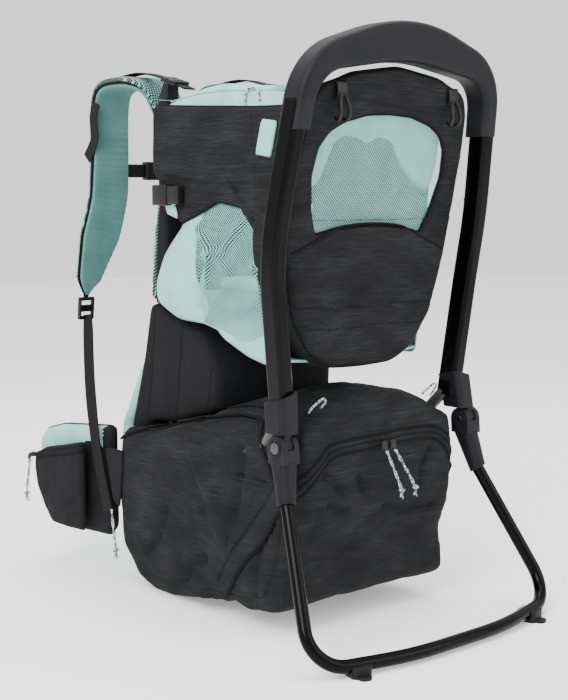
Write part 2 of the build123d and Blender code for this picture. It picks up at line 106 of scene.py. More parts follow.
class Finish:
    """A Principled material and short ways to add nodes to it."""

    def __init__(self, name, colour, roughness, **sockets):
        self.material = bpy.data.materials.new(name)
        self.material.use_nodes = True
        self.tree = self.material.node_tree
        self.shader = self.tree.nodes["Principled BSDF"]
        self.set(**{"Base Color": (*colour, 1.0), "Roughness": roughness, **sockets})
        self.place = self.node("ShaderNodeTexCoord").outputs["Object"]

    def set(self, **sockets):
        for socket, value in sockets.items():
            self.shader.inputs[socket].default_value = value

    def node(self, kind, inputs=(), **settings):
        """Make a node; inputs pairs a socket's name or number with a value or an output."""
        made = self.tree.nodes.new(kind)
        for setting, value in settings.items():
            setattr(made, setting, value)
        for socket, value in inputs:
            if isinstance(value, bpy.types.NodeSocket):
                self.tree.links.new(value, made.inputs[socket])
            else:
                made.inputs[socket].default_value = value
        return made

    def scaled(self, scale):
        """Object coordinates, stretched by a scale for each axis."""
        return self.node("ShaderNodeMapping", [("Vector", self.place), ("Scale", scale)]).outputs["Vector"]

    def noise(self, scale, detail=3.0, roughness=0.55):
        """Noise with its own size along each axis, in features per metre."""
        made = self.node("ShaderNodeTexNoise", [("Vector", self.scaled(scale)), ("Scale", 1.0),
                                                ("Detail", detail), ("Roughness", roughness)])
        return made.outputs["Fac"]

    def math(self, operation, first, second=0.0, third=0.0, clamp=False):
        made = self.node("ShaderNodeMath", [(0, first), (1, second), (2, third)],
                         operation=operation, use_clamp=clamp)
        return made.outputs[0]

    def ramp(self, factor, stops):
        """A colour ramp from (position, colour) stops."""
        made = self.node("ShaderNodeValToRGB", [("Fac", factor)])
        elements = made.color_ramp.elements
        while len(elements) < len(stops):
            elements.new(0.5)
        for element, (position, colour) in zip(elements, stops):
            element.position = position
            element.color = (*colour, 1.0)
        return made.outputs["Color"]

    def paint(self, colour):
        self.tree.links.new(colour, self.shader.inputs["Base Color"])

    def vary_roughness(self, factor, low, high):
        made = self.node("ShaderNodeMapRange", [("Value", factor), ("To Min", low), ("To Max", high)])
        self.tree.links.new(made.outputs["Result"], self.shader.inputs["Roughness"])

    def bump(self, height, distance, strength=1.0):
        """Add surface relief, distance millimetres deep, over any relief there already."""
        made = self.node("ShaderNodeBump", [("Height", height), ("Strength", strength),
                                            ("Distance", distance * MM)])
        current = self.shader.inputs["Normal"]
        if current.links:
            self.tree.links.new(current.links[0].from_socket, made.inputs["Normal"])
        self.tree.links.new(made.outputs["Normal"], current)

    def weave(self, pitch):
        """Crossed threads, pitch millimetres apart, as a height from 0 to 1."""
        split = self.node("ShaderNodeSeparateXYZ", [("Vector", self.scaled([2 * math.pi / (pitch * MM)] * 3))])
        waves = [self.math("SINE", axis) for axis in split.outputs]
        crossed = self.math("MULTIPLY", self.math("ADD", waves[0], waves[1]), waves[2])
        return self.math("MULTIPLY_ADD", crossed, 0.25, 0.5, clamp=True)


def shade(colour, factor):
    """A colour made darker or lighter."""
    return tuple(min(1.0, channel * factor) for channel in colour)


def heather_finish(name, colour, contrast):
    """Woven fabric with short light slubs that run level."""
    made = Finish(name, colour, 0.9, **{"Specular IOR Level": 0.1})
    slubs = made.noise((26.0, 26.0, 620.0), 4.0, 0.7)
    cloud = made.noise((14.0, 14.0, 30.0), 3.0)
    mixed = made.math("MULTIPLY_ADD", cloud, 0.35, made.math("MULTIPLY", slubs, 0.65))
    made.paint(made.ramp(mixed, [(0.36, shade(colour, 1 - contrast)), (0.5, colour),
                                 (0.57, shade(colour, 1 + contrast)),
                                 (0.68, shade(colour, 1 + 3.0 * contrast))]))
    made.vary_roughness(slubs, 0.7, 0.95)
    made.bump(made.weave(1.3), 0.25, 0.6)
    made.bump(slubs, 0.35, 0.7)
    return made.material


def plain_fabric_finish(name, colour, sheen, weave_pitch=1.1, depth=0.18):
    """Smooth woven or brushed fabric with faint mottling."""
    made = Finish(name, colour, 0.85,
                  **{"Specular IOR Level": 0.12, "Sheen Weight": sheen, "Sheen Roughness": 0.5})
    cloud = made.noise((30.0, 30.0, 30.0), 4.0)
    made.paint(made.ramp(cloud, [(0.3, shade(colour, 0.86)), (0.5, colour), (0.72, shade(colour, 1.1))]))
    made.vary_roughness(cloud, 0.7, 0.92)
    made.bump(made.weave(weave_pitch), depth, 0.6)
    made.bump(made.noise((900.0, 900.0, 900.0), 2.0), 0.1, 0.5)
    return made.material


def open_mesh_finish(name, colour, solid_share, pitch, flat_axis):
    """Net: diagonal rows of holes that let the inside show. flat_axis is 0 for a net that spreads
    along X and Z, 1 for one along Y and Z."""
    made = Finish(name, colour, 0.75, **{"Specular IOR Level": 0.15})
    step = 2 * math.pi / (pitch * MM)
    split = made.node("ShaderNodeSeparateXYZ", [("Vector", made.scaled((step, step, step)))])
    level = split.outputs[flat_axis]
    first = made.math("SINE", made.math("ADD", level, split.outputs[2]))
    second = made.math("SINE", made.math("SUBTRACT", level, split.outputs[2]))
    cell = made.math("MULTIPLY", first, second)
    solid = made.math("LESS_THAN", made.math("ABSOLUTE", cell), solid_share)
    made.tree.links.new(solid, made.shader.inputs["Alpha"])
    cloud = made.noise((40.0, 40.0, 40.0))
    made.paint(made.ramp(cloud, [(0.3, shade(colour, 0.85)), (0.7, shade(colour, 1.1))]))
    made.bump(made.math("ABSOLUTE", cell), 0.4)
    return made.material


def spacer_mesh_finish(name, light, dark, pitch):
    """Padded honeycomb mesh: light ribs round small dark pits."""
    made = Finish(name, light, 0.8, **{"Specular IOR Level": 0.12})
    step = math.pi / (pitch * MM)
    split = made.node("ShaderNodeSeparateXYZ", [("Vector", made.scaled((step, step, step)))])
    rows = made.math("SINE", split.outputs[0])
    columns = made.math("SINE", made.math("ADD", split.outputs[1], split.outputs[2]))
    pit = made.math("ABSOLUTE", made.math("MULTIPLY", rows, columns))
    made.paint(made.ramp(pit, [(0.22, light), (0.42, dark)]))
    made.bump(made.math("SUBTRACT", 1.0, pit), 0.8, 0.8)
    return made.material


def webbing_finish(name, colour):
    """Tightly woven strap with a fine rib."""
    made = Finish(name, colour, 0.7, **{"Specular IOR Level": 0.15})
    ribs = made.weave(2.2)
    made.paint(made.ramp(ribs, [(0.2, shade(colour, 0.6)), (0.8, shade(colour, 1.9))]))
    made.bump(ribs, 0.35)
    return made.material


def hard_finish(name, colour, roughness, spread, grain, grain_depth, wear, **sockets):
    """Moulded or coated surface: fine grain, uneven gloss and slightly lighter worn edges."""
    made = Finish(name, colour, roughness, **sockets)
    cloud = made.noise((18.0, 18.0, 18.0), 4.0)
    worn = made.ramp(made.node("ShaderNodeNewGeometry").outputs["Pointiness"],
                     [(0.5, (0.0, 0.0, 0.0)), (0.58, (wear, wear, wear))])
    tint = made.ramp(cloud, [(0.3, shade(colour, 0.9)), (0.7, shade(colour, 1.12))])
    mixed = made.node("ShaderNodeMix", [("Factor", worn), ("A", tint), ("B", (0.35, 0.35, 0.36, 1.0))],
                      data_type="RGBA")
    made.paint(mixed.outputs["Result"])
    made.vary_roughness(cloud, roughness - spread, roughness + spread)
    made.bump(made.noise((grain, grain, grain), 2.0), grain_depth, 0.5)
    return made.material


def cord_finish(name, light, dark):
    """Braided cord: light thread with dark flecks."""
    made = Finish(name, light, 0.7, **{"Specular IOR Level": 0.3})
    flecks = made.node("ShaderNodeTexVoronoi", [("Vector", made.scaled((1.0, 1.0, 1.0))), ("Scale", 620.0)])
    grey = made.node("ShaderNodeRGBToBW", [("Color", flecks.outputs["Color"])])
    made.paint(made.ramp(grey.outputs["Val"], [(0.42, dark), (0.55, light)]))
    made.bump(flecks.outputs["Distance"], 0.4)
    return made.material


MINT = (0.25, 0.53, 0.475)
CHARCOAL = (0.0105, 0.0108, 0.0118)
# One look for each material slot of the record; the finishes after it are worn by single pieces.
LOOKS = {
    "black_metal": hard_finish("gloss_black_coat", (0.0009, 0.0009, 0.001), 0.2, 0.05, 700.0, 0.03, 0.002,
                               **{"Specular IOR Level": 0.09}),
    "bare_tube": hard_finish("black_tube_coat", (0.004, 0.004, 0.0045), 0.35, 0.08, 900.0, 0.04, 0.1),
    "grey_plastic": hard_finish("satin_grey_plastic", (0.0068, 0.0068, 0.0088), 0.5, 0.06, 1500.0, 0.08, 0.01,
                                **{"Specular IOR Level": 0.13}),
    "pin_steel": hard_finish("blackened_steel", (0.06, 0.06, 0.065), 0.35, 0.06, 900.0, 0.04, 0.25,
                             Metallic=1.0),
    "buckle_plastic": hard_finish("black_buckle_plastic", (0.0035, 0.0035, 0.0038), 0.36, 0.07, 1300.0, 0.05,
                                  0.02, **{"Specular IOR Level": 0.2}),
    "charcoal_heather": heather_finish("charcoal_heather", CHARCOAL, 0.45),
    "dark_fabric": plain_fabric_finish("dark_fabric", (0.0085, 0.0085, 0.0095), 0.0),
    "mint_fabric": plain_fabric_finish("mint_fabric", MINT, 0.08, 1.4, 0.12),
    "mint_mesh": open_mesh_finish("mint_mesh", MINT, 0.3, 8.2, 0),
    "strap_mesh": spacer_mesh_finish("spacer_mesh", (0.2, 0.4, 0.37), (0.006, 0.01, 0.011), 4.4),
    "black_webbing": webbing_finish("black_webbing", (0.0045, 0.0045, 0.0046)),
    "speckled_cord": cord_finish("speckled_cord", (0.5, 0.51, 0.54), (0.05, 0.052, 0.06)),
}
SIDE_NET = open_mesh_finish("side_net", MINT, 0.3, 8.2, 1)
# Painted shade: the mint made darker for the shoulder pads' lining, which lies in shadow.
SHADED_MINT = plain_fabric_finish("strap_lining_painted_shade", (0.075, 0.19, 0.182), 0.08, 1.6, 0.2)
GREY_LINING = plain_fabric_finish("grey_lining", (0.05, 0.052, 0.055), 0.0)
PIPING = plain_fabric_finish("black_piping", (0.004, 0.004, 0.0045), 0.0)
THREAD = plain_fabric_finish("grey_thread", (0.022, 0.023, 0.026), 0.0)
MINT_THREAD = plain_fabric_finish("mint_thread", shade(MINT, 0.72), 0.1)


# ---- Lines --------------------------------------------------------------------------------------


def even(points, count, closed=False):
    """count points at even spacing along a line."""
    points = np.asarray(points, float)
    if closed:
        points = np.vstack([points, points[:1]])
    runs = np.linalg.norm(np.diff(points, axis=0), axis=1)
    reached = np.concatenate([[0.0], np.cumsum(runs)])
    wanted = np.linspace(0.0, reached[-1], count + 1)[:-1] if closed else np.linspace(0.0, reached[-1], count)
    return np.stack([np.interp(wanted, reached, column) for column in points.T], axis=1)


def rounded(points, count, passes, closed=False):
    """Even points along a line whose corners are eased by averaging with their neighbours."""
    line = even(points, count, closed)
    for _ in range(passes):
        if closed:
            line = (np.roll(line, 1, axis=0) + 2 * line + np.roll(line, -1, axis=0)) / 4
        else:
            line[1:-1] = (line[:-2] + 2 * line[1:-1] + line[2:]) / 4
    return line


def flowing(points, count):
    """Even points along a smooth curve through the given points."""
    points = np.asarray(points, float)
    padded = np.vstack([2 * points[0] - points[1], points, 2 * points[-1] - points[-2]])
    share = np.linspace(0.0, 1.0, 16, endpoint=False)[:, None]
    pieces = []
    for a, b, c, d in zip(padded, padded[1:], padded[2:], padded[3:]):
        pieces.append(0.5 * (2 * b + (c - a) * share + (2 * a - 5 * b + 4 * c - d) * share ** 2
                             + (3 * b - a - 3 * c + d) * share ** 3))
    return even(np.vstack(pieces + [points[-1:]]), count)


def handed(points, side):
    """Right-hand (X, Y, Z) points, moved to the left when side is -1."""
    return np.asarray(points, float) * (side, 1, 1)


def both_halves(half):
    """Close a right-hand (X, Z) outline that starts and ends on the symmetry plane."""
    return half + [(-x, z) for x, z in reversed(half) if x > 0]


def by_angle(outline, centre, count):
    """count points round a closed outline, at even angles about its centre."""
    dense = even(outline, 4000, closed=True)
    angle = np.arctan2(dense[:, 1] - centre[1], dense[:, 0] - centre[0])
    order = np.argsort(angle)
    wanted = np.linspace(-math.pi, math.pi, count, endpoint=False)
    around = [np.interp(wanted, angle[order], dense[order, axis], period=2 * math.pi) for axis in (0, 1)]
    return np.stack(around, axis=1)


def gap_to(flat, line, closed=False):
    """Distance from flat points to a flat line."""
    flat = np.asarray(flat, float)
    line = np.asarray(line, float)
    ends = np.roll(line, -1, axis=0) if closed else line[1:]
    nearest = np.full(flat.shape[:-1], 1e9)
    for start, end in zip(line, ends):
        run = end - start
        share = np.clip(((flat - start) @ run) / max(run @ run, 1e-9), 0.0, 1.0)
        away = np.linalg.norm(flat - start - share[..., None] * run, axis=-1)
        nearest = np.minimum(nearest, away)
    return nearest


def inside(flat, outline):
    """True for flat points inside a closed outline."""
    x, y = flat[..., 0], flat[..., 1]
    within = np.zeros(x.shape, bool)
    for (x1, y1), (x2, y2) in zip(outline, np.roll(outline, -1, axis=0)):
        crosses = (y1 > y) != (y2 > y)
        slope = (x2 - x1) / (y2 - y1) if y1 != y2 else 0.0
        within ^= crosses & (x < x1 + (y - y1) * slope)
    return within


def height_on(line, across):
    """Second coordinates on a falling line of (across, height) points, at first coordinates."""
    ordered = np.asarray(line, float)[::-1]
    return np.interp(across, ordered[:, 0], ordered[:, 1])


def drawn_in(outline, centre, share):
    """An outline moved a share of the way to its centre."""
    return outline * (1 - share) + np.array(centre) * share


def raised(flat):
    """Flat points as 3-D points at height 0."""
    return np.concatenate([flat, np.zeros((*flat.shape[:-1], 1))], axis=-1)


def dome(gap, width):
    """0 at an edge, rising on a quarter circle to 1 at width from it."""
    return np.sqrt(1.0 - (1.0 - np.clip(gap / width, 0.0, 1.0)) ** 2)


def ease(value, start, end):
    """A smooth step from 0 at start to 1 at end."""
    share = np.clip((value - start) / (end - start), 0.0, 1.0)
    return share * share * (3 - 2 * share)


def crease(flat, line, width):
    """1 on a line, fading to 0 away from it."""
    return np.exp(-(gap_to(flat, line) / width) ** 2)


def creased(points, size, seed=0.0, stretch=(1.0, 1.0, 1.0)):
    """Smooth noise from -1 to 1 at 3-D points, with features about size millimetres long."""
    scaled = np.asarray(points, float) / size * np.asarray(stretch) + seed
    flat = scaled.reshape(-1, 3)
    values = [noise.noise(Vector(point)) for point in flat.tolist()]
    return np.array(values).reshape(scaled.shape[:-1])


# ---- Meshes -------------------------------------------------------------------------------------


class Shape:
    """Points and faces gathered for one mesh."""

    def __init__(self):
        self.points = []
        self.faces = []

    def add(self, points, faces):
        base = len(self.points)
        self.points.extend(np.asarray(points, float).reshape(-1, 3).tolist())
        self.faces.extend([[index + base for index in face] for face in faces])
        return self

    def mirrored(self):
        """Add the mirror image of what is there."""
        points = [(-x, y, z) for x, y, z in self.points]
        return self.add(points, [list(reversed(face)) for face in self.faces])


def beside(line):
    """Unit directions square to a flat line."""
    along = directions(line)
    return np.stack([-along[:, 1], along[:, 0]], axis=1)


def grid_faces(rows, columns, wrap=True):
    """Quads over rows of points; wrap joins each row's last point to its first."""
    faces = []
    for row in range(rows - 1):
        for column in range(columns if wrap else columns - 1):
            after = (column + 1) % columns
            low, high = row * columns, (row + 1) * columns
            faces.append([low + column, low + after, high + after, high + column])
    return faces


def side_quads(loop, offset):
    """Quads that join a closed loop of point numbers to the same loop, offset numbers further on."""
    return [[a, b, b + offset, a + offset] for a, b in zip(loop.tolist(), np.roll(loop, -1).tolist())]


def directions(line, closed=False):
    """Unit tangents along a line."""
    along = np.roll(line, -1, axis=0) - np.roll(line, 1, axis=0) if closed else np.gradient(line, axis=0)
    return along / np.linalg.norm(along, axis=1, keepdims=True)


def carried(along):
    """A direction square to each tangent, carried along the line without twisting."""
    side = np.cross(along[0], (0.31, 0.52, 0.8))
    sides = []
    for tangent in along:
        side = side - (side @ tangent) * tangent
        side = side / np.linalg.norm(side)
        sides.append(side)
    return np.array(sides)


def sweep(line, section, across=None, closed=False, grow=None):
    """A closed section swept along a line. across is the section's first axis, as one vector or
    one for each point; grow scales the section's two axes at each point."""
    line = np.asarray(line, float)
    along = directions(line, closed)
    sides = carried(along) if across is None else np.broadcast_to(np.asarray(across, float), line.shape)
    sides = sides - np.sum(sides * along, axis=1, keepdims=True) * along
    sides = sides / np.linalg.norm(sides, axis=1, keepdims=True)
    up = np.cross(along, sides)
    sections = np.broadcast_to(np.asarray(section, float), (len(line), *np.shape(section)[-2:]))
    if grow is not None:
        sections = sections * np.asarray(grow, float).reshape(len(line), 1, -1)
    points = line[:, None] + sides[:, None] * sections[..., :1] + up[:, None] * sections[..., 1:]
    count = sections.shape[1]
    if closed:
        points = np.vstack([points, points[:1]])
    faces = grid_faces(len(points), count)
    if not closed:
        last = (len(points) - 1) * count
        faces.append(list(range(count))[::-1])
        faces.append([last + index for index in range(count)])
    return points.reshape(-1, 3), faces


def circle(radius, count=10):
    turn = np.linspace(0, 2 * math.pi, count, endpoint=False)
    return np.stack([radius * np.cos(turn), radius * np.sin(turn)], axis=1)


def side_ring(centre, radius, count):
    """Points round a circle that faces sideways."""
    ring = circle(radius, count)
    return np.column_stack([np.full(count, float(centre[0])), ring + centre[1:]])


def lozenge(half_width, half_height, power=4.0, count=28):
    """A rounded rectangle as a superellipse; a higher power is squarer."""
    turn = np.linspace(0, 2 * math.pi, count, endpoint=False)
    cosine, sine = np.cos(turn), np.sin(turn)
    return np.stack([half_width * np.sign(cosine) * np.abs(cosine) ** (2 / power),
                     half_height * np.sign(sine) * np.abs(sine) ** (2 / power)], axis=1)


def tube(line, radius, closed=False, count=8):
    return sweep(line, circle(radius, count), closed=closed)


def tubes(*runs):
    """Tubes in one shape, each from (line, radius) or (line, radius, closed)."""
    shape = Shape()
    for run in runs:
        shape.add(*tube(*run))
    return shape


def strap(line, across, half_width=10.0, thick=2.4):
    """Flat webbing along a line."""
    return sweep(line, lozenge(half_width, thick / 2, 7.0, 24), across)


STITCH_PITCH = 4.6
THREAD_RADIUS = 0.5


def stitch_row(line):
    """Short raised threads along a line."""
    line = np.asarray(line, float)
    length = np.linalg.norm(np.diff(line, axis=0), axis=1).sum()
    count = max(2, int(length / STITCH_PITCH))
    ends = even(line, 2 * count)
    row = Shape()
    for index in range(0, 2 * count - 1, 2):
        start, end = ends[index], ends[index + 1]
        row.add(*tube(np.array([start, start * 0.3 + end * 0.7, end]), THREAD_RADIUS, count=5))
    return row.points, row.faces


def stitches(*lines):
    """Stitch rows in one shape."""
    shape = Shape()
    for line in lines:
        shape.add(*stitch_row(line))
    return shape


def new_piece(name, points, faces):
    """An object with a clean closed mesh."""
    mesh = bpy.data.meshes.new(name)
    mesh.from_pydata(to_frame(points).tolist(), [], [list(map(int, face)) for face in faces])
    work = bmesh.new()
    work.from_mesh(mesh)
    bmesh.ops.remove_doubles(work, verts=work.verts, dist=2e-6)
    bmesh.ops.recalc_face_normals(work, faces=work.faces)
    work.to_mesh(mesh)
    work.free()
    mesh.polygons.foreach_set("use_smooth", [True] * len(mesh.polygons))
    piece = bpy.data.objects.new(name, mesh)
    bpy.context.scene.collection.objects.link(piece)
    return piece


def dress(piece, body, slot, material=None, replaces=()):
    """Give a piece its material, the slot's look unless one is given; tie it to the body that it rides on and
    hide the nodes it stands for.
    """
    piece.data.materials.clear()
    piece.data.materials.append(material or LOOKS[slot])
    if body:
        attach(piece, body)
    if replaces:
        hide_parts(*replaces)
    return piece


def to_layout(points):
    """The frame's metres to layout millimetres."""
    return np.array(points) / MM - (0.0, DEPTH_SHIFT, 0.0)


def face_centres(piece):
    return to_layout([face.center for face in piece.data.polygons])


def make(name, shape, body, slot, material=None, replaces=()):
    """A dressed piece from a Shape or a (points, faces) pair."""
    points, faces = (shape.points, shape.faces) if isinstance(shape, Shape) else shape
    piece = dress(new_piece(name, points, faces), body, slot, material, replaces)
    return piece


class Panel:
    """A sewn or padded piece over a flat outline. place(a, b, lift) is where the flat point
    (a, b) goes, lift millimetres out of the piece's middle."""

    def __init__(self, outline, centre, place, thick, edge=None, wall=0.0, crown=0.0, crown_width=40.0,
                 back_crown=0.0, hole=None, relief=None, step=4.0):
        around = np.linalg.norm(np.diff(np.asarray(outline, float), axis=0), axis=1).sum()
        self.count = int(around / step)
        self.outer = by_angle(outline, centre, self.count)
        self.hole = by_angle(hole, centre, self.count) if hole is not None else None
        self.inner = self.hole if hole is not None else np.tile(np.asarray(centre, float), (self.count, 1))
        self.place = place
        self.half = thick / 2
        self.edge = edge or thick / 2
        self.wall = wall
        self.crown = crown
        self.back_crown = back_crown
        self.crown_width = crown_width
        self.relief = relief
        self.step = step

    def gap(self, flat):
        gap = gap_to(flat, self.outer, closed=True)
        if self.hole is not None:
            gap = np.minimum(gap, gap_to(flat, self.hole, closed=True))
        return gap

    def lift(self, flat, front=True):
        gap = self.gap(flat)
        swell = self.crown if front else self.back_crown
        lift = self.wall + self.half * dome(gap, self.edge) + swell * dome(gap, self.crown_width)
        if front and self.relief is not None:
            lift = lift + self.relief(flat) * dome(gap, 3 * self.edge)
        return lift if front else -lift

    def front(self, flat, proud=0.0):
        """3-D points on the front face, proud millimetres off it."""
        flat = np.asarray(flat, float)
        return self.place(flat[..., 0], flat[..., 1], self.lift(flat) + proud)

    def rim(self, lift=0.0):
        """The 3-D line round the outline."""
        return self.place(self.outer[:, 0], self.outer[:, 1], np.full(self.count, lift))

    def hole_rim(self, lift=0.0):
        return self.place(self.hole[:, 0], self.hole[:, 1], np.full(self.count, lift))

    def mesh(self, back=True):
        """The closed panel, or its front face alone when back is False."""
        reach = np.linalg.norm(self.outer - self.inner, axis=1).max()
        rows = int(reach / self.step) + 3
        share = np.linspace(0, 1, rows)
        share = (share ** 0.85 if self.hole is None else 0.5 - 0.5 * np.cos(math.pi * share))[:, None, None]
        flat = self.inner + (self.outer - self.inner) * share
        shape = Shape()
        quads = grid_faces(rows, self.count)
        shape.add(self.front(flat), quads)
        if not back:
            return shape
        rear_face = self.place(flat[..., 0], flat[..., 1], self.lift(flat, front=False))
        shape.add(rear_face, [face[::-1] for face in quads])
        if self.wall:
            levels = np.linspace(-self.wall, self.wall, max(2, int(2 * self.wall / (2 * self.step))))
            shape.add(np.array([self.rim(level) for level in levels]), grid_faces(len(levels), self.count))
        return shape


def side_place(side, middle):
    """Place for a panel that faces sideways: flat (Y, Z), lifted away from the symmetry plane.
    middle is the distance from that plane, or a function of (y, z)."""
    def place(y, z, lift):
        away = middle(y, z) if callable(middle) else middle
        return np.stack([side * (away + lift), y, z], axis=-1)
    return place


# ---- Cord pulls ---------------------------------------------------------------------------------

# Routes repeat the part's: from the slider down to the knot.
REAR_PULL_LEFT = [(-8, -4, 236), (2, -6, 214), (13, -6, 193), (20, -5, 180)]
REAR_PULL_RIGHT = [(8, -4, 236), (22, -6, 214), (37, -6, 193), (46, -5, 180)]
SIDE_PULL = [(165.5, 402, 110), (165.8, 399, 88), (166, 394, 66), (165.8, 392, 50)]
HIP_PULL = [(184, 600, 157), (186, 602, 136), (187, 605, 115), (187, 606, 102)]
STRAND_RADIUS = 1.15
STRAND_TWIST = 38.0


def spline_points(name, points):
    """Points along the NURBS spline that a route controls, in layout millimetres."""
    curve = bpy.data.curves.new(name, "CURVE")
    curve.dimensions = "3D"
    curve.resolution_u = 10
    spline = curve.splines.new("NURBS")
    spline.points.add(len(points) - 1)
    for control, point in zip(spline.points, to_frame(points)):
        control.co = (*point, 1.0)
    spline.order_u = 3
    spline.use_endpoint_u = True
    holder = bpy.data.objects.new(name, curve)
    bpy.context.scene.collection.objects.link(holder)
    mesh = bpy.data.meshes.new_from_object(holder)
    line = to_layout([vertex.co for vertex in mesh.vertices])
    bpy.data.objects.remove(holder)
    bpy.data.meshes.remove(mesh)
    return line


def doubled_cord(line):
    """Two strands side by side along a line, turning slowly round each other."""
    sides = carried(directions(line))
    up = np.cross(directions(line), sides)
    travelled = np.concatenate([[0.0], np.cumsum(np.linalg.norm(np.diff(line, axis=0), axis=1))])
    turn = travelled / STRAND_TWIST * 2 * math.pi
    shape = Shape()
    for phase in (0.0, math.pi):
        cosine = np.cos(turn + phase)[:, None]
        sine = np.sin(turn + phase)[:, None]
        shape.add(*tube(line + (STRAND_RADIUS - 0.1) * (sides * cosine + up * sine), STRAND_RADIUS))
    return shape


def knot_shape(centre):
    """An overhand knot with two short tails."""
    turn = np.linspace(0, 2 * math.pi, 60, endpoint=False)
    loop = np.stack([np.sin(turn) + 2 * np.sin(2 * turn), -1.2 * np.sin(3 * turn),
                     np.cos(turn) - 2 * np.cos(2 * turn)], axis=1)
    shape = Shape().add(*tube(np.asarray(centre) + 1.1 * loop, 1.5, closed=True))
    for lean in (-1.0, 1.0):
        tail = np.array([(0.6 * lean, 0, -1), (1.2 * lean, 0.4, -6), (2.4 * lean, 0.2, -11 - lean)])
        shape.add(*tube(np.asarray(centre) + flowing(tail, 8), STRAND_RADIUS))
    return shape


PULLS = [("rear_pull_left", REAR_PULL_LEFT, 0.0605), ("rear_pull_right", REAR_PULL_RIGHT, 0.0656),
         ("side_pull_left", handed(SIDE_PULL, -1), 0.0606), ("side_pull_right", SIDE_PULL, 0.0606),
         ("hip_pull_left", handed(HIP_PULL, -1), 0.0553), ("hip_pull_right", HIP_PULL, 0.0553)]
for pull_name, route, pull_length in PULLS:
    pull_line = spline_points(pull_name + "_line", route)
    pull = make(pull_name + "_cord", doubled_cord(pull_line), pull_name, "speckled_cord", replaces=[pull_name])
    knot = make(pull_name + "_knot", knot_shape(route[-1]), pull_name, "speckled_cord")


# ---- Hard parts that keep their CAD shape -------------------------------------------------------

HARD_NODES = {
    "black_metal": ["rear_hoop", "kickstand_tube"],
    "bare_tube": ["base_frame_tube", "back_frame_tube"],
    "grey_plastic": ["handle_cover_front", "handle_cover_rear", "hinge_housing_left", "hinge_housing_right",
                     "kickstand_socket_left", "kickstand_socket_right", "feet"],
    "pin_steel": ["hinge_pins"],
    "buckle_plastic": ["upper_ladder_locks", "lower_ladder_locks", "sternum_socket", "sternum_tongue",
                       "hip_socket", "hip_tongue", "side_buckle_sockets", "side_buckle_tongue_left",
                       "side_buckle_tongue_right", "rear_zip_slider_left", "rear_zip_slider_right"],
}
BEVELLED = {"upper_ladder_locks": 1.2, "lower_ladder_locks": 1.2, "sternum_socket": 2.6, "sternum_tongue": 2.0,
            "hip_socket": 2.6, "hip_tongue": 2.0, "side_buckle_sockets": 2.0, "side_buckle_tongue_left": 2.0,
            "side_buckle_tongue_right": 2.0, "rear_zip_slider_left": 1.2, "rear_zip_slider_right": 1.2,
            "feet": 1.2, "hinge_pins": 0.6, "kickstand_socket_left": 0.9, "kickstand_socket_right": 0.9,
            "hinge_housing_left": 0.9, "hinge_housing_right": 0.9}
CRISP_ANGLE = 35.0


def softened_copy(node, width):
    """A copy of a CAD node with its duplicate points merged and its sharp edges rounded."""
    source = frame["nodes"][node]
    mesh = source.data.copy()
    work = bmesh.new()
    work.from_mesh(mesh)
    bmesh.ops.remove_doubles(work, verts=work.verts, dist=1e-6)
    bmesh.ops.dissolve_limit(work, angle_limit=math.radians(0.5), verts=work.verts, edges=work.edges)
    work.to_mesh(mesh)
    work.free()
    piece = bpy.data.objects.new(node + "_moulded", mesh)
    bpy.context.scene.collection.objects.link(piece)
    bevel = piece.modifiers.new("edge_rounding", "BEVEL")
    bevel.width = width * MM
    bevel.segments = 3
    bevel.limit_method = "ANGLE"
    bevel.angle_limit = math.radians(CRISP_ANGLE)
    bevel.use_clamp_overlap = True
    graph = bpy.context.evaluated_depsgraph_get()
    piece.data = bpy.data.meshes.new_from_object(piece.evaluated_get(graph))
    piece.modifiers.clear()
    if "custom_normal" in piece.data.attributes:
        piece.data.attributes.remove(piece.data.attributes["custom_normal"])
    piece.data.polygons.foreach_set("use_smooth", [True] * len(piece.data.polygons))
    piece.data.set_sharp_from_angle(angle=math.radians(40))
    return piece


for slot_name, nodes in HARD_NODES.items():
    for node in nodes:
        if node in BEVELLED:
            body = frame["nodes"][node]["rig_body"]
            dress(softened_copy(node, BEVELLED[node]), body, slot_name, replaces=[node])
        else:
            cad_piece = frame["nodes"][node]
            cad_piece.data.materials.clear()
            cad_piece.data.materials.append(LOOKS[slot_name])

# Small holes along the inner faces of the rails, and a boss ring on each hinge.
RAIL_HOLES = [(157.5, 33, 372), (164.5, 30, 432), (170.5, 24, 560), (167.5, 15, 616)]
HOLE_RADIUS = 3.2
BOSS_X = 181.2
BOSS_RADIUS = 10.0
hole_shape = Shape()
for place in RAIL_HOLES:
    hole_shape.add(*tube(side_ring(place, HOLE_RADIUS, 20), 0.9, closed=True, count=6))
hole_shape.mirrored()
make("rail_hole_rings", hole_shape, "frame", "black_metal")
boss_shape = Shape()
boss_shape.add(*tube(side_ring((BOSS_X, PIVOT_Y, PIVOT_Z), BOSS_RADIUS, 40), 1.1, closed=True))
boss_shape.mirrored()
make("hinge_boss_rings", boss_shape, "kickstand", "grey_plastic")


# ---- Seat back ----------------------------------------------------------------------------------

FACE_HEIGHTS = [343, 517, 677, 700, 728]
FACE_DEPTHS = [50, 36, -4, -10, -16]
SEAT_BACK_OUTLINE = [(0, 343), (58, 345), (92, 362), (124, 409), (147, 500), (149, 560), (145, 640),
                     (138, 680), (128, 698), (100, 706), (80, 715), (0, 726)]
WINDOW_OUTLINE = [(0, 528), (60, 524), (96, 516), (108, 545), (118, 590), (114, 625), (100, 645), (78, 657),
                  (40, 667), (0, 669)]
WINDOW_CENTRE = (0.0, 597.0)
POUCH_SEAM = [(-150, 488), (-99, 508), (-60, 524), (0, 529), (60, 524), (99, 508), (150, 488)]
LEVEL_SEAMS = [(422, 3.0), (394, 2.2)]
heights = np.linspace(330, 740, 83)
face_line = rounded(np.stack([heights, np.interp(heights, FACE_HEIGHTS, FACE_DEPTHS)], axis=1), 83, 12)


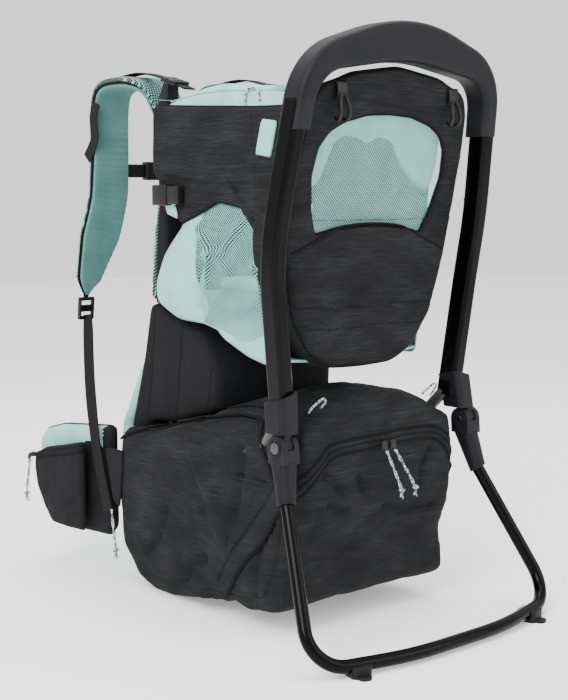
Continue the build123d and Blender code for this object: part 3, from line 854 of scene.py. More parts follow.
def seat_back_place(x, z, lift):
    """Rear face of the seat back: lifted towards the rear."""
    return np.stack([x, np.interp(z, face_line[:, 0], face_line[:, 1]) + 7.0 - lift, z], axis=-1)


def seam_wave(x):
    """How far the level seams stray up and down."""
    return 1.5 * np.sin(x / 23.0)


def seat_back_relief(flat):
    x, z = flat[..., 0], flat[..., 1]
    seam_height = np.interp(x, [p[0] for p in POUCH_SEAM], [p[1] for p in POUCH_SEAM])
    relief = 2.4 * ease(seam_height - z, -1.0, 2.5) - 1.6 * np.exp(-((z - seam_height - 1.5) / 2.2) ** 2)
    for height, depth in LEVEL_SEAMS:
        wavy = z - height - seam_wave(x)
        relief -= depth * np.exp(-(wavy / 2.6) ** 2)
    spots = raised(flat * (1.0, 1.8))
    return relief + 2.2 * creased(spots, 62.0) + 0.8 * creased(spots, 21.0, 7.0)


seat_outline = rounded(both_halves(SEAT_BACK_OUTLINE), 300, 8, closed=True)
window_outline = rounded(both_halves(WINDOW_OUTLINE), 300, 6, closed=True)
seat_back = Panel(seat_outline, WINDOW_CENTRE, seat_back_place, 12.0, edge=5.0, crown=2.0, crown_width=45.0,
                  hole=window_outline, relief=seat_back_relief, step=3.2)
make("seat_back_cover", seat_back.mesh(), "frame", "charcoal_heather", replaces=["seat_back_panel"])

pouch_line = flowing(POUCH_SEAM, 90)
pouch_line = pouch_line[inside(pouch_line, drawn_in(seat_outline, WINDOW_CENTRE, 0.03))]
trim = tubes((seat_back.rim(), 2.3, True), (seat_back.hole_rim(1.0), 2.0, True),
             (seat_back.front(pouch_line + (0, 1.0), -0.3), 1.5))
for height, _ in LEVEL_SEAMS:
    level_x = np.linspace(-118, 118, 60)
    seam = np.stack([level_x, height + 1.5 + seam_wave(level_x)], axis=1)
    seam = seam[inside(seam, drawn_in(seat_outline, WINDOW_CENTRE, 0.04))]
    trim.add(*tube(seat_back.front(seam, -0.2), 0.8))
make("seat_back_piping", trim, "frame", "dark_fabric", PIPING)

rim_loop = seat_back.rim()
lowest = int(np.argmin(rim_loop[:, 2]))
rim_loop = np.roll(rim_loop, len(rim_loop) // 2 - lowest, axis=0)
gusset_line = rim_loop[rim_loop[:, 2] < 545]
gusset_line = rounded(gusset_line * (1.015, 1.0, 1.0) + (0, 26, -1.0), 120, 4)
make("seat_back_gusset", sweep(gusset_line, lozenge(27.0, 2.2, 5.0, 24), (0, 1, 0)), "frame",
     "charcoal_heather")

window_row = by_angle(window_outline, WINDOW_CENTRE, 160)
window_row = window_row + (window_row - WINDOW_CENTRE) * 0.055
above_seam = window_row[:, 1] > 533
threads = stitches(seat_back.front(pouch_line - (0, 5.5), 0.15), seat_back.front(window_row[above_seam], 0.15))
make("seat_back_stitching", threads, "frame", "charcoal_heather", THREAD)

window = Panel(drawn_in(window_outline, WINDOW_CENTRE, -0.02), WINDOW_CENTRE, seat_back_place, 1.0, crown=-5.0,
               crown_width=60.0, back_crown=-5.0, step=5.0)
window_piece = make("seat_window_mesh", window.mesh(back=False), "frame", "mint_mesh",
                    replaces=["seat_mesh_window"])

HEADREST_DEPTH = 19.0
FOLDED_DEPTH = 13.0


def behind_window(depth):
    """Place for a panel that lies inside the seat, depth millimetres from its back."""
    return lambda x, z, lift: seat_back_place(x, z, lift) + (0, depth, 0)


# Padded headrest and child's harness, seen through the window.
HEADREST = [(0, 618), (40, 612), (84, 590), (112, 556), (122, 600), (118, 648), (90, 676), (40, 686), (0, 688)]
headrest_outline = rounded(both_halves(HEADREST), 160, 6, closed=True)
headrest = Panel(headrest_outline, (0.0, 650.0), behind_window(HEADREST_DEPTH), 12.0, crown=3.0, step=6.0)
make("seat_headrest", headrest.mesh(), "frame", "mint_fabric")
FOLDED_PADS = [(-94, 522), (-90, 596), (-80, 632), (-66, 643), (-36, 640), (-20, 632), (-2, 642), (22, 638),
               (40, 616), (52, 598), (92, 572), (108, 560), (108, 522)]
folded = Panel(rounded(FOLDED_PADS, 160, 2, closed=True), (0.0, 570.0), behind_window(FOLDED_DEPTH), 7.0,
               crown=3.0, crown_width=25.0, step=5.0,
               relief=lambda flat: 3.0 * creased(raised(flat), 34.0, 21.0))
make("folded_harness_padding", folded.mesh(), "frame", "dark_fabric", GREY_LINING)
harness_shape = Shape()
for _, side in SIDES:
    route = flowing(handed([(44, 46, 655), (46, 58, 620), (46, 72, 560), (44, 84, 500), (40, 86, 470)],
                           side), 40)
    width = np.interp(np.linspace(0, 1, 40), [0, 0.15, 0.8, 1], [0.9, 1.0, 0.95, 0.6])
    harness_shape.add(*sweep(route, lozenge(16.0, 4.5, 3.0), (1, 0, 0), grow=np.stack([width, width], axis=1)))
make("child_harness_pads", harness_shape, "frame", "dark_fabric", replaces=["child_harness"])
chest_strap = Shape()
chest_strap.add(*strap(flowing([(-44, 74, 585), (0, 77, 583), (44, 74, 585)], 14), (0, 0, 1), 9.0))
chest_strap.add(*sweep(np.array([(-17, 80, 583), (0, 81, 583), (17, 80, 583)], float),
                       lozenge(11.0, 4.0, 4.0), (0, 0, 1)))
make("child_chest_strap", chest_strap, "frame", "black_webbing")

# Two-pronged hooks at the top corners of the seat back.
HOOK_X = 100
HOOK_PRONG = [(3.5, -14, 690), (6.5, -18, 678), (7.5, -20, 666), (6.5, -15, 657), (5.5, -8, 660)]
clip_shape = Shape()
for _, side in SIDES:
    plate = handed([(HOOK_X, -12.0, 704), (HOOK_X, -14.0, 692), (HOOK_X, -12.5, 682)], side)
    clip_shape.add(*sweep(flowing(plate, 10), lozenge(9.0, 2.2, 5.0), (1, 0, 0)))
    for lean in (-1, 1):
        prong = [(side * HOOK_X + lean * out, y, z) for out, y, z in HOOK_PRONG]
        clip_shape.add(*sweep(flowing(prong, 20), lozenge(2.6, 1.9, 3.0, 14), (1, 0, 0)))
make("seat_hooks", clip_shape, "frame", "buckle_plastic", replaces=["seat_clips"])


# ---- Side bands, slung seat and rim -------------------------------------------------------------

# Side-facing outlines are in (Y, Z); the names that end in OUT are distances from the symmetry plane.
BAND_OUTLINE = [(42, 676), (120, 678), (220, 683), (331, 689), (333, 640), (333, 592), (306, 584), (292, 558),
                (272, 527), (232, 541), (190, 558), (150, 552), (112, 545), (100, 512), (90, 484), (62, 478),
                (60, 560), (54, 625)]
BAND_CENTRE = (196.0, 620.0)
BAND_OUT, TAB_OUT, INSET_OUT, SLING_OUT, FACING_OUT, ANCHOR_OUT = 130.4, 138.2, 136.5, 122.0, 127.5, 157.0
SIDE_BUCKLE_PLACE = (290.0, 566.0)
BAND_SEAM = [(335, 597), (305, 593), (236, 586), (182, 581), (104, 581)]
BAND_UPRIGHT = [(118, 679), (104, 616), (106, 540)]


def band_relief(flat):
    y, z = flat[..., 0], flat[..., 1]
    seam_height = height_on(BAND_SEAM, y)
    relief = 1.8 * ease(z - seam_height, -1.5, 2.5) - 1.4 * np.exp(-((z - seam_height + 2) / 2.5) ** 2)
    relief -= 1.1 * crease(flat, BAND_UPRIGHT, 2.4)
    spots = raised(flat * (1.0, 1.5))
    relief += 2.4 * creased(spots, 75.0, 3.0) + 0.8 * creased(spots, 24.0, 5.0)
    away = (flat - SIDE_BUCKLE_PLACE) / (34, 16)
    under_buckle = np.exp(-(away[..., 0] ** 2 + away[..., 1] ** 2))
    return relief * (1 - 0.85 * under_buckle)


# The slung seat: its outline, the line where solid fabric meets net, and the folds of the net.
SLING_OUTLINE = [(268, 540), (276, 521), (312, 484), (336, 444), (333, 416), (278, 397), (203, 393),
                 (188, 378), (136, 357), (101, 349), (72, 349), (66, 430), (66, 540), (108, 550), (190, 562)]
SLING_CENTRE = (180.0, 462.0)
NET_EDGE = [(226, 540), (230, 528), (235, 503), (232, 465), (223, 427), (204, 394)]
NET_HEM = [(204, 396), (169, 385), (134, 377), (102, 386), (60, 410)]
FOLDS = [([(176, 556), (226, 529)], 6.0, 5.0), ([(230, 522), (200, 489), (212, 440), (206, 398)], 9.0, 6.0),
         ([(198, 489), (165, 498), (129, 541)], 9.0, 6.0),
         ([(206, 405), (170, 440), (110, 470), (70, 478)], 9.0, 9.0),
         ([(206, 400), (160, 410), (96, 432)], 6.0, 6.0), ([(104, 545), (101, 480), (98, 400)], 6.0, 4.0),
         ([(180, 500), (150, 455), (140, 400)], -8.0, 9.0), ([(222, 470), (222, 430), (210, 400)], -9.0, 6.0)]


def net_edge_depth(z):
    """How far forwards the net reaches at a height."""
    return height_on([(height, depth) for depth, height in NET_EDGE], z)


def sling_relief(flat):
    y, z = flat[..., 0], flat[..., 1]
    relief = np.zeros(y.shape)
    for line, height, width in FOLDS:
        relief += height * crease(flat, flowing(line, 24), width)
    relief -= 7.0 * crease(flat, flowing(NET_EDGE, 40), 8.0)
    relief += 3.0 * crease(flat, flowing(NET_EDGE, 40), 2.5)
    net = ease(net_edge_depth(z) - y, 0.0, 15.0)
    return (relief + (2.0 + 2.5 * net) * creased(raised(flat), 48.0, 11.0)) * ease(556 - z, 0.0, 40.0)


def sling_bulge(flat):
    """How far the sling swells: a full round front part and a slacker net behind it."""
    y, z = flat[..., 0], flat[..., 1]
    front = np.exp(-(((y - 272) / 52) ** 2 + ((z - 448) / 60) ** 2))
    rear = np.exp(-(((y - 150) / 80) ** 2 + ((z - 455) / 90) ** 2))
    return (15.0 * front + 9.0 * rear) * ease(556 - z, 0.0, 40.0)


for hand, side in SIDES:
    band = Panel(rounded(BAND_OUTLINE, 260, 3, closed=True), BAND_CENTRE, side_place(side, BAND_OUT), 7.0,
                 edge=4.0, crown=1.5, crown_width=30.0, relief=band_relief, step=3.6)
    make(f"side_band_cover_{hand}", band.mesh(), "frame", "charcoal_heather",
         replaces=[f"side_band_{hand}"])
    make(f"side_band_piping_{hand}", tube(band.rim(), 1.6, closed=True), "frame", "dark_fabric", PIPING)
    rows = Shape()
    for line, offset in ((BAND_SEAM, (0, 5)), (BAND_UPRIGHT, (5, 0)), (BAND_UPRIGHT, (-5, 0))):
        row = flowing(line, 60)[4:-4] + offset
        rows.add(*stitch_row(band.front(row[inside(row, band.outer)], 0.1)))
    make(f"side_band_stitching_{hand}", rows, "frame", "charcoal_heather", THREAD)
    tab_outline = rounded([(92, 662), (62, 658), (75, 613), (105, 617)], 120, 3, closed=True)
    tab = Panel(tab_outline, (83.0, 637.0), side_place(side, TAB_OUT), 3.0, edge=1.4, crown=0.8,
                crown_width=12.0)
    make(f"side_band_tab_{hand}", tab.mesh(), "frame", "mint_fabric")
    inset_outline = rounded([(289, 580), (308, 574), (297, 540), (270, 533)], 100, 3, closed=True)
    inset = Panel(inset_outline, (289.0, 557.0), side_place(side, INSET_OUT), 2.4, edge=1.2, crown=0.8,
                  crown_width=12.0)
    make(f"side_band_inset_{hand}", inset.mesh(), "frame", "mint_fabric")

    def sling_middle(y, z):
        return SLING_OUT + sling_bulge(np.stack([y, z], axis=-1))

    sling = Panel(rounded(SLING_OUTLINE, 260, 7, closed=True), SLING_CENTRE, side_place(side, sling_middle),
                  3.0, edge=2.5, crown=7.0, crown_width=34.0, relief=sling_relief, step=3.6)
    sling_piece = make(f"seat_sling_{hand}", sling.mesh(back=False), "frame", "mint_mesh", SIDE_NET,
                       replaces=[f"seat_side_{hand}"])
    sling_piece.data.materials.append(LOOKS["mint_fabric"])
    flat = face_centres(sling_piece)[:, 1:]
    ahead = flat[:, 0] > net_edge_depth(flat[:, 1])
    below = flat[:, 1] < height_on(NET_HEM, flat[:, 0])
    sling_piece.data.polygons.foreach_set("material_index", (ahead | below).astype(np.int32))
    piping = tubes((sling.front(flowing(NET_EDGE, 60)[6:-2], 0.2), 1.3),
                   (sling.front(flowing(NET_HEM, 50)[2:-6], 0.1), 0.9), (sling.rim(), 1.4, True))
    make(f"seat_sling_piping_{hand}", piping, "frame", "mint_fabric", MINT_THREAD)

# Underside of the slung seat.
BASE_HALF_WIDTH, BASE_ROWS, BASE_COLUMNS = 123, 60, 50
BASE_LINE = flowing([(70, 354), (110, 357), (150, 364), (188, 381), (232, 392), (290, 404), (322, 412),
                     (332, 430)], BASE_ROWS)
base_span = np.linspace(-BASE_HALF_WIDTH, BASE_HALF_WIDTH, BASE_COLUMNS)
base_shape = Shape()
grid_y, grid_x = np.meshgrid(BASE_LINE[:, 0], base_span, indexing="ij")
grid_z = np.repeat(BASE_LINE[:, 1:], BASE_COLUMNS, axis=1)
base_grid = np.stack([grid_x, grid_y, grid_z], axis=-1)
base_grid[..., 2] += -5.0 * (1 - (grid_x / BASE_HALF_WIDTH) ** 2) + 1.2 * creased(base_grid, 45.0)
base_quads = grid_faces(BASE_ROWS, BASE_COLUMNS, wrap=False)
base_shape.add(base_grid, base_quads)
base_shape.add(base_grid + (0, 0, 3.0), [face[::-1] for face in base_quads])
numbers = np.arange(BASE_ROWS * BASE_COLUMNS).reshape(BASE_ROWS, BASE_COLUMNS)
border = np.concatenate([numbers[0], numbers[1:, -1], numbers[-1, -2::-1], numbers[-2:0:-1, 0]])
base_shape.faces += side_quads(border, numbers.size)
make("seat_sling_base", base_shape, "frame", "mint_fabric", replaces=["seat_base"])

# Padded rim round the child's seat, with a welt and a cord loop on each side.
RIM_ROUTE = [(101, 84), (101, 130), (101, 190), (101, 245), (96, 283), (76, 303), (38, 307), (0, 307),
             (-38, 307), (-76, 303), (-96, 283), (-101, 245), (-101, 190), (-101, 130), (-101, 84)]
RIM_HEIGHTS = ([76, 113, 144, 191, 224, 262, 310, 340], [701, 702, 704, 709, 706, 699, 693, 691])
rim_plan = flowing(RIM_ROUTE, 150)
rim_height = np.interp(rim_plan[:, 1], *RIM_HEIGHTS)
rim_line = np.column_stack([rim_plan, rim_height - 5.5])
rim_line = rounded(rim_line, 150, 4)
outward = np.cross(directions(rim_line), (0, 0, 1.0))
puff = 1.0 + 0.06 * creased(rim_line, 40.0, 2.0)
rim_shape = sweep(rim_line, lozenge(27.0, 9.5, 2.8, 36), outward, grow=np.stack([np.ones(150), puff], axis=1))
make("seat_rim_pad", rim_shape, "frame", "mint_fabric", replaces=["seat_rim"])
welt_shape = Shape()
for _, side in SIDES:
    welt = flowing(handed([(128.2, 60, 696), (129.0, 108, 698), (129.0, 174, 701), (128.6, 235, 700),
                           (126, 300, 693)], side), 60)
    welt_shape.add(*tube(welt, 0.9))
make("seat_rim_welts", welt_shape, "frame", "mint_fabric", MINT_THREAD)

FACING = [(324, 682), (300, 690), (262, 697), (224, 700), (174, 701), (108, 698), (60, 695), (44, 690),
          (44, 672), (120, 674), (220, 679)]
for hand, side in SIDES:
    facing = Panel(rounded(FACING, 160, 3, closed=True), (180.0, 686.0), side_place(side, FACING_OUT), 4.0,
                   edge=2.0, crown=1.2, crown_width=8.0,
                   relief=lambda flat: 0.8 * creased(raised(flat), 30.0))
    make(f"seat_rim_facing_{hand}", facing.mesh(), "frame", "mint_fabric")

LOOP_RADIUS = 1.5
RIM_LOOP = [(131.5, 104, 681), (132.5, 104, 692), (132.5, 110, 700), (132.5, 124, 701), (132.5, 131, 693),
            (131.5, 132, 681)]
BAG_LOOP = [(94, 30, 297), (95, 20, 306), (101, 15, 312), (108, 17, 309), (112, 26, 300), (112, 32, 293)]
loop_shape = tubes(*[(flowing(handed(loop, side), 36), LOOP_RADIUS) for _, side in SIDES
                     for loop in (RIM_LOOP, BAG_LOOP)])
make("cord_loops", loop_shape, "frame", "speckled_cord", replaces=["gear_loops"])

# Saddle pad that the child sits on.
saddle_outline = rounded([(-58, 162), (58, 162), (58, 288), (-58, 288)], 160, 14, closed=True)
saddle = Panel(saddle_outline, (0.0, 225.0), lambda x, y, lift: np.stack([x, y, 440 + lift], axis=-1), 18.0,
               crown=2.5, crown_width=40.0, step=5.0,
               relief=lambda flat: -1.8 * crease(flat, [(0, 170), (0, 280)], 4.0))
make("saddle_pad", saddle.mesh(), "seat_saddle", "mint_fabric", replaces=["seat_saddle"])


# ---- Back ---------------------------------------------------------------------------------------

BACK_COLUMN = [(226, 270), (326, 240), (384, 237), (405, 216), (439, 217), (402, 332), (384, 410),
               (357, 410), (345, 399), (262, 381), (250, 365), (224, 318)]
COLUMN_CENTRE = (320.0, 312.0)
BACK_SEAMS = [[(231, 390), (245, 262)], [(300, 405), (322, 236)], [(365, 412), (392, 225)]]


def column_place(y, z, lift):
    return np.stack([lift, y, z], axis=-1)


def column_relief(flat):
    relief = 2.2 * creased(raised(flat * (1.6, 0.5)), 60.0, 1.0)
    for seam in BACK_SEAMS:
        relief -= 1.8 * crease(flat, seam, 2.4)
    return relief


class EvenPanel(Panel):
    """A thick panel whose two faces carry the same relief."""

    def lift(self, flat, front=True):
        lift = super().lift(flat, True)
        return lift if front else -lift


column = EvenPanel(rounded(BACK_COLUMN, 220, 5, closed=True), COLUMN_CENTRE, column_place, 24.0, edge=12.0,
                   wall=96.0, relief=column_relief, step=5.0)
make("back_column_cover", column.mesh(), "frame", "dark_fabric", replaces=["back_column"])
column_trim = Shape()
for seam in BACK_SEAMS:
    line = flowing(seam, 40)
    line = line[inside(line, drawn_in(column.outer, COLUMN_CENTRE, 0.06))]
    column_trim.add(*tube(column.front(line, 0.1), 0.9))
column_trim.mirrored()
make("back_column_piping", column_trim, "frame", "dark_fabric", PIPING)

SHELL_OUTLINE = [(337, 411), (374, 411), (366, 470), (357, 559), (364, 698), (337, 698)]
shell = EvenPanel(rounded(SHELL_OUTLINE, 240, 5, closed=True), (352.0, 560.0), column_place, 12.0, edge=6.0,
                  wall=103.0, step=6.0)
make("back_shell_cover", shell.mesh(), "frame", "dark_fabric", replaces=["back_panel"])

# Wearer's side: a quilted back pad over the shell and the lumbar pad below it.
PAD_HEIGHTS = [395, 411, 470, 559, 604]
PAD_DEPTHS = [386, 381, 373, 363.5, 366.5]
back_pad_outline = rounded([(-104, 415), (104, 415), (106, 500), (98, 602), (-98, 602), (-106, 500)], 240, 8,
                           closed=True)


def quilt(flat):
    rows = np.cos(flat[..., 1] / 31.0 * math.pi) ** 12
    middle = np.exp(-(flat[..., 0] / 9.0) ** 2)
    return -2.4 * rows - 5.0 * middle


back_pad = Panel(back_pad_outline, (0.0, 508.0),
                 lambda x, z, lift: np.stack([x, np.interp(z, PAD_HEIGHTS, PAD_DEPTHS) + lift, z], axis=-1),
                 9.0, edge=4.5, crown=4.0, crown_width=30.0, relief=quilt, step=5.0)
make("back_quilt", back_pad.mesh(), "frame", "strap_mesh")

LUMBAR_FRONT = [(76, 428), (120, 456), (225, 463), (325, 428), (332, 416)]
lumbar_outline = rounded([(-108, 84), (108, 84), (111, 200), (92, 322), (-92, 322), (-111, 200)], 260, 10,
                         closed=True)
lumbar = Panel(lumbar_outline, (0.0, 200.0),
               lambda x, z, lift: np.stack([x, np.interp(z, *zip(*LUMBAR_FRONT)) - 12.5 + lift, z], axis=-1),
               18.0, edge=9.0, crown=3.0, crown_width=40.0, relief=quilt, step=5.0)
make("lumbar_cushion", lumbar.mesh(), "frame", "mint_fabric", replaces=["lumbar_pad"])


# ---- Cargo bag ----------------------------------------------------------------------------------

# The cloth may move BAG_CAP off the solid in BAG_FRAMES steps, and stays FLOOR_GAP off the floor.
BAG_CAP = 8.0
BAG_VOXEL = 6.5
BAG_CLOTH = {"vertex_group_mass": "held", "use_pressure": True, "uniform_pressure_force": 2.2, "quality": 6,
             "mass": 0.3, "tension_stiffness": 18, "compression_stiffness": 12, "shear_stiffness": 8,
             "bending_stiffness": 0.6, "shrink_min": -0.04}
BAG_FRAMES = 32
FLOOR_GAP = 0.4
REAR_DARTS = [flowing([(-101, 214), (-86, 203), (-72, 187)], 12),
              flowing([(-89, 170), (-74, 163), (-59, 162)], 12),
              flowing([(-39, 202), (-34, 192), (-25, 182)], 12),
              flowing([(96, 224), (80, 200), (78, 178)], 12),
              flowing([(20, 150), (60, 138), (110, 140)], 14)]
FLANK_FOLDS = [flowing([(204, 75), (236, 45), (269, 15)], 14),
               flowing([(120, 240), (128, 170), (150, 110)], 16),
               flowing([(60, 150), (84, 110), (92, 50)], 14), flowing([(330, 60), (300, 90), (286, 130)], 14)]
DART_DEPTH, DART_WIDTH = 7.5, 5.5
FOLD_DEPTH, FOLD_WIDTH = 6.5, 6.5


def bake(piece):
    """Apply every modifier of a piece."""
    graph = bpy.context.evaluated_depsgraph_get()
    piece.data = bpy.data.meshes.new_from_object(piece.evaluated_get(graph))
    piece.modifiers.clear()


def bag_body():
    """The cargo bag's CAD solid remade as soft fabric: rounded, filled by a short cloth
    simulation and held within BAG_CAP millimetres of the solid."""
    source = frame["nodes"]["cargo_bag"]
    piece = bpy.data.objects.new("cargo_bag_fabric", source.data.copy())
    bpy.context.scene.collection.objects.link(piece)
    remesh = piece.modifiers.new("even_mesh", "REMESH")
    remesh.mode = "VOXEL"
    remesh.voxel_size = BAG_VOXEL * MM
    soften = piece.modifiers.new("rounding", "SMOOTH")
    soften.factor = 0.5
    soften.iterations = 5
    bake(piece)
    pinned = piece.vertex_groups.new(name="held")
    rest = to_layout([vertex.co for vertex in piece.data.vertices])
    for index, (x, y, z) in enumerate(rest):
        near_frame = max(ease(y, 205.0, 260.0), ease(25.0 - z, 0.0, 15.0), 0.25 * ease(z, 250.0, 290.0))
        pinned.add([index], float(near_frame), "REPLACE")
    cloth = piece.modifiers.new("fabric", "CLOTH")
    for setting, value in BAG_CLOTH.items():
        setattr(cloth.settings, setting, value)
    cloth.settings.effector_weights.gravity = 0.25
    cloth.collision_settings.use_self_collision = False
    scene = bpy.context.scene
    for step in range(1, BAG_FRAMES + 1):
        scene.frame_set(step)
    settled = piece.evaluated_get(bpy.context.evaluated_depsgraph_get())
    moved = to_layout([vertex.co for vertex in settled.data.vertices])
    scene.frame_set(1)
    piece.modifiers.clear()
    piece.vertex_groups.clear()
    shift = moved - rest
    distance = np.linalg.norm(shift, axis=1, keepdims=True)
    shift = shift * np.minimum(1.0, BAG_CAP / np.maximum(distance, 1e-6))
    settled_points = rest + shift
    settled_points[:, 2] = np.maximum(settled_points[:, 2], FLOOR_GAP)
    piece.data.vertices.foreach_set("co", to_frame(settled_points).ravel())
    piece.data.update()
    refine = piece.modifiers.new("finer", "SUBSURF")
    refine.levels = refine.render_levels = 1
    bake(piece)
    return piece


def wrinkled_bag(piece):
    """Pull seams, tucks and creases into the bag's surface."""
    count = len(piece.data.vertices)
    points = np.empty(count * 3)
    normals = np.empty(count * 3)
    piece.data.vertices.foreach_get("co", points)
    piece.data.vertices.foreach_get("normal", normals)
    points = to_layout(points.reshape(-1, 3))
    normals = normals.reshape(-1, 3)
    x, y, z = points.T
    depth = 2.6 * creased(points, 58.0, 4.0, (1.0, 1.0, 0.6)) + 1.1 * creased(points, 23.0, 9.0)
    rear = np.clip(-normals[:, 1], 0, 1)
    flank = np.clip(np.abs(normals[:, 0]), 0, 1) ** 2
    across = points[:, [0, 2]]
    sideways = points[:, [1, 2]]
    for dart in REAR_DARTS:
        depth -= DART_DEPTH * rear * crease(across, dart, DART_WIDTH)
    for fold in FLANK_FOLDS:
        depth -= FOLD_DEPTH * flank * crease(sideways, fold, FOLD_WIDTH)
    held_flat = ease(z, 4.0, 22.0) * ease(400 - y, 0.0, 25.0)
    points += normals * (depth * held_flat)[:, None]
    points[:, 2] = np.maximum(points[:, 2], FLOOR_GAP)
    piece.data.vertices.foreach_set("co", to_frame(points).ravel())
    piece.data.update()


bag = bag_body()
wrinkled_bag(bag)
dress(bag, "frame", "charcoal_heather", replaces=["cargo_bag"])
bag.data.polygons.foreach_set("use_smooth", [True] * len(bag.data.polygons))

bag_tree = BVHTree.FromPolygons([vertex.co for vertex in bag.data.vertices],
                                [list(face.vertices) for face in bag.data.polygons])


def on_bag(points, towards, start_far, proud=0.5):
    """Points moved along a direction until they meet the bag, then raised proud millimetres."""
    found = []
    heading = Vector(towards)
    for point in np.asarray(points, float):
        start = Vector(to_frame(point)) - heading * start_far * MM
        spot, normal, _, _ = bag_tree.ray_cast(start, heading)
        if spot is None:
            spot, normal, _, _ = bag_tree.find_nearest(Vector(to_frame(point)))
        if normal.dot(heading) > 0:
            normal = -normal
        found.append(list((spot + normal * proud * MM) / MM - Vector((0, DEPTH_SHIFT, 0))))
    return np.array(found)


def on_flank(flat, side, proud=0.5):
    """Points given as (Y, Z) on one flank of the bag."""
    flat = np.asarray(flat, float)
    points = np.column_stack([np.full(len(flat), side * 150.0), flat])
    return on_bag(points, (-side, 0, 0), 100.0, proud)


def on_rear(flat, proud=0.5):
    """Points given as (X, Z) on the bag's rear."""
    flat = np.asarray(flat, float)
    points = np.column_stack([flat[:, 0], np.full(len(flat), 20.0), flat[:, 1]])
    return on_bag(points, (0, 1, 0), 150.0, proud)


BAND_EDGE_SHARE = 0.4
BAND_SUNK = 1.2


def laid_band(centre_line, half_width, put, thick, step_count, rows=5):
    """A ribbon laid on the bag: centre_line is flat, put places flat points on the bag."""
    line = flowing(centre_line, step_count)
    across = beside(line)
    top, low = [], []
    for offset in np.linspace(-1, 1, rows):
        column = line + across * (offset * half_width)
        top.append(put(column, thick if abs(offset) < 1 else thick * BAND_EDGE_SHARE))
        low.append(put(column, -BAND_SUNK))
    loop = np.concatenate([np.stack(top, axis=1), np.stack(low, axis=1)[:, ::-1]], axis=1)
    faces = grid_faces(step_count, 2 * rows)
    faces.append(list(range(2 * rows))[::-1])
    faces.append([(step_count - 1) * 2 * rows + index for index in range(2 * rows)])
    return loop.reshape(-1, 3), faces


# Zip across the rear of the bag, under a narrow flap on each side.
ZIP_ARCH = [(-146, 194), (-125, 218), (-93, 241), (-52, 246), (0, 247), (58, 248), (104, 244), (132, 222),
            (146, 198)]
zip_shape = laid_band(ZIP_ARCH, 7.0, on_rear, 2.2, 140)
make("rear_zip_flap", zip_shape, "frame", "charcoal_heather", replaces=["rear_zip_track"])
arch_line = flowing(ZIP_ARCH, 160)
arch_across = beside(arch_line)
zip_lines = tubes((on_rear(arch_line, 2.6), 1.0), *[(on_rear(arch_line + offset * arch_across, 0.6), 1.3)
                                                    for offset in (-8.0, 8.0)])
make("rear_zip_piping", zip_lines, "frame", "dark_fabric", PIPING)
zip_rows = stitches(*[on_rear(arch_line + offset * arch_across, 0.7) for offset in (-11.5, 11.5)])
make("rear_zip_stitching", zip_rows, "frame", "charcoal_heather", THREAD)

# Stretch pocket on each flank: a welted top edge and a diagonal compression strap.
POCKET_PROUD = 3.2
POCKET_TOP = [(392, 214), (366, 226), (285, 247), (204, 267), (148, 276), (109, 274), (90, 258), (67, 228),
              (48, 196), (40, 176)]
POCKET_OUTLINE = POCKET_TOP + [(52, 100), (70, 50), (110, 42), (150, 38), (220, 30), (320, 28), (404, 116)]
WELT_EDGE = [(392, 223), (366, 235), (285, 256), (204, 277), (148, 287), (104, 285), (80, 266), (55, 232),
             (38, 200)]
WELT_MIDDLE = [(150, 281), (109, 280), (86, 263), (62, 230), (44, 200)]
DIAGONAL = [(36, 200), (48, 182), (70, 157), (116, 100), (163, 43)]


def pocket_grid(side):
    """The pocket's cloth as a thin layer just above the flank."""
    outline = rounded(POCKET_OUTLINE, 150, 3, closed=True)
    centre = np.array([215.0, 150.0])
    rings = np.linspace(0.0, 1.0, 26)[:, None, None]
    flat = centre + (outline - centre) * rings
    proud = np.full(flat.shape[:2], POCKET_PROUD)
    proud += 1.5 * creased(raised(flat), 42.0, 6.0)
    for fold in FLANK_FOLDS:
        proud -= 2.6 * crease(flat, fold, 4.0)
    proud[-1] = 0.8
    top = on_flank(flat.reshape(-1, 2), side, 0.0).reshape(*flat.shape[:2], 3)
    top[..., 0] += side * proud
    low = top.copy()
    low[..., 0] -= side * (proud + 1.5)
    shape = Shape()
    quads = grid_faces(len(rings), len(outline))
    shape.add(top, quads)
    shape.add(low, [face[::-1] for face in quads])
    ring = (len(rings) - 1) * len(outline) + np.arange(len(outline))
    shape.faces += side_quads(ring, len(rings) * len(outline))
    return shape


for hand, side in SIDES:
    make(f"side_pocket_{hand}", pocket_grid(side), "frame", "charcoal_heather",
         replaces=["side_pockets"] if hand == "left" else [])
    details = tubes((on_flank(flowing(POCKET_TOP, 90), side, POCKET_PROUD), 2.0),
                    (on_flank(flowing(WELT_EDGE, 60), side, 1.2), 1.1))
    make(f"side_pocket_piping_{hand}", details, "frame", "dark_fabric", PIPING)
    band = laid_band(DIAGONAL, 13.0, lambda flat, proud, side=side: on_flank(flat, side, proud + POCKET_PROUD),
                     3.8, 60, rows=7)
    make(f"bag_strap_{hand}", band, "frame", "charcoal_heather")
    middle_line = flowing(DIAGONAL, 60)
    aside = beside(middle_line)
    band_edges = tubes(*[(on_flank(middle_line + offset * aside, side, 4.4), 1.8) for offset in (-13.4, 13.4)])
    make(f"bag_strap_piping_{hand}", band_edges, "frame", "dark_fabric", PIPING)
    welt = laid_band(WELT_MIDDLE, 5.0, lambda flat, proud, side=side: on_flank(flat, side, proud + 0.8),
                     2.0, 50)
    make(f"side_pocket_welt_{hand}", welt, "frame", "charcoal_heather")
    rows = stitches(*[on_flank(middle_line + offset * aside, side, 7.2) for offset in (-10.5, 10.5)],
                    on_flank(flowing(POCKET_TOP, 90) - (0, 6.5), side, 5.6))
    make(f"side_pocket_stitching_{hand}", rows, "frame", "charcoal_heather", THREAD)


# ---- Shoulder harness ---------------------------------------------------------------------------

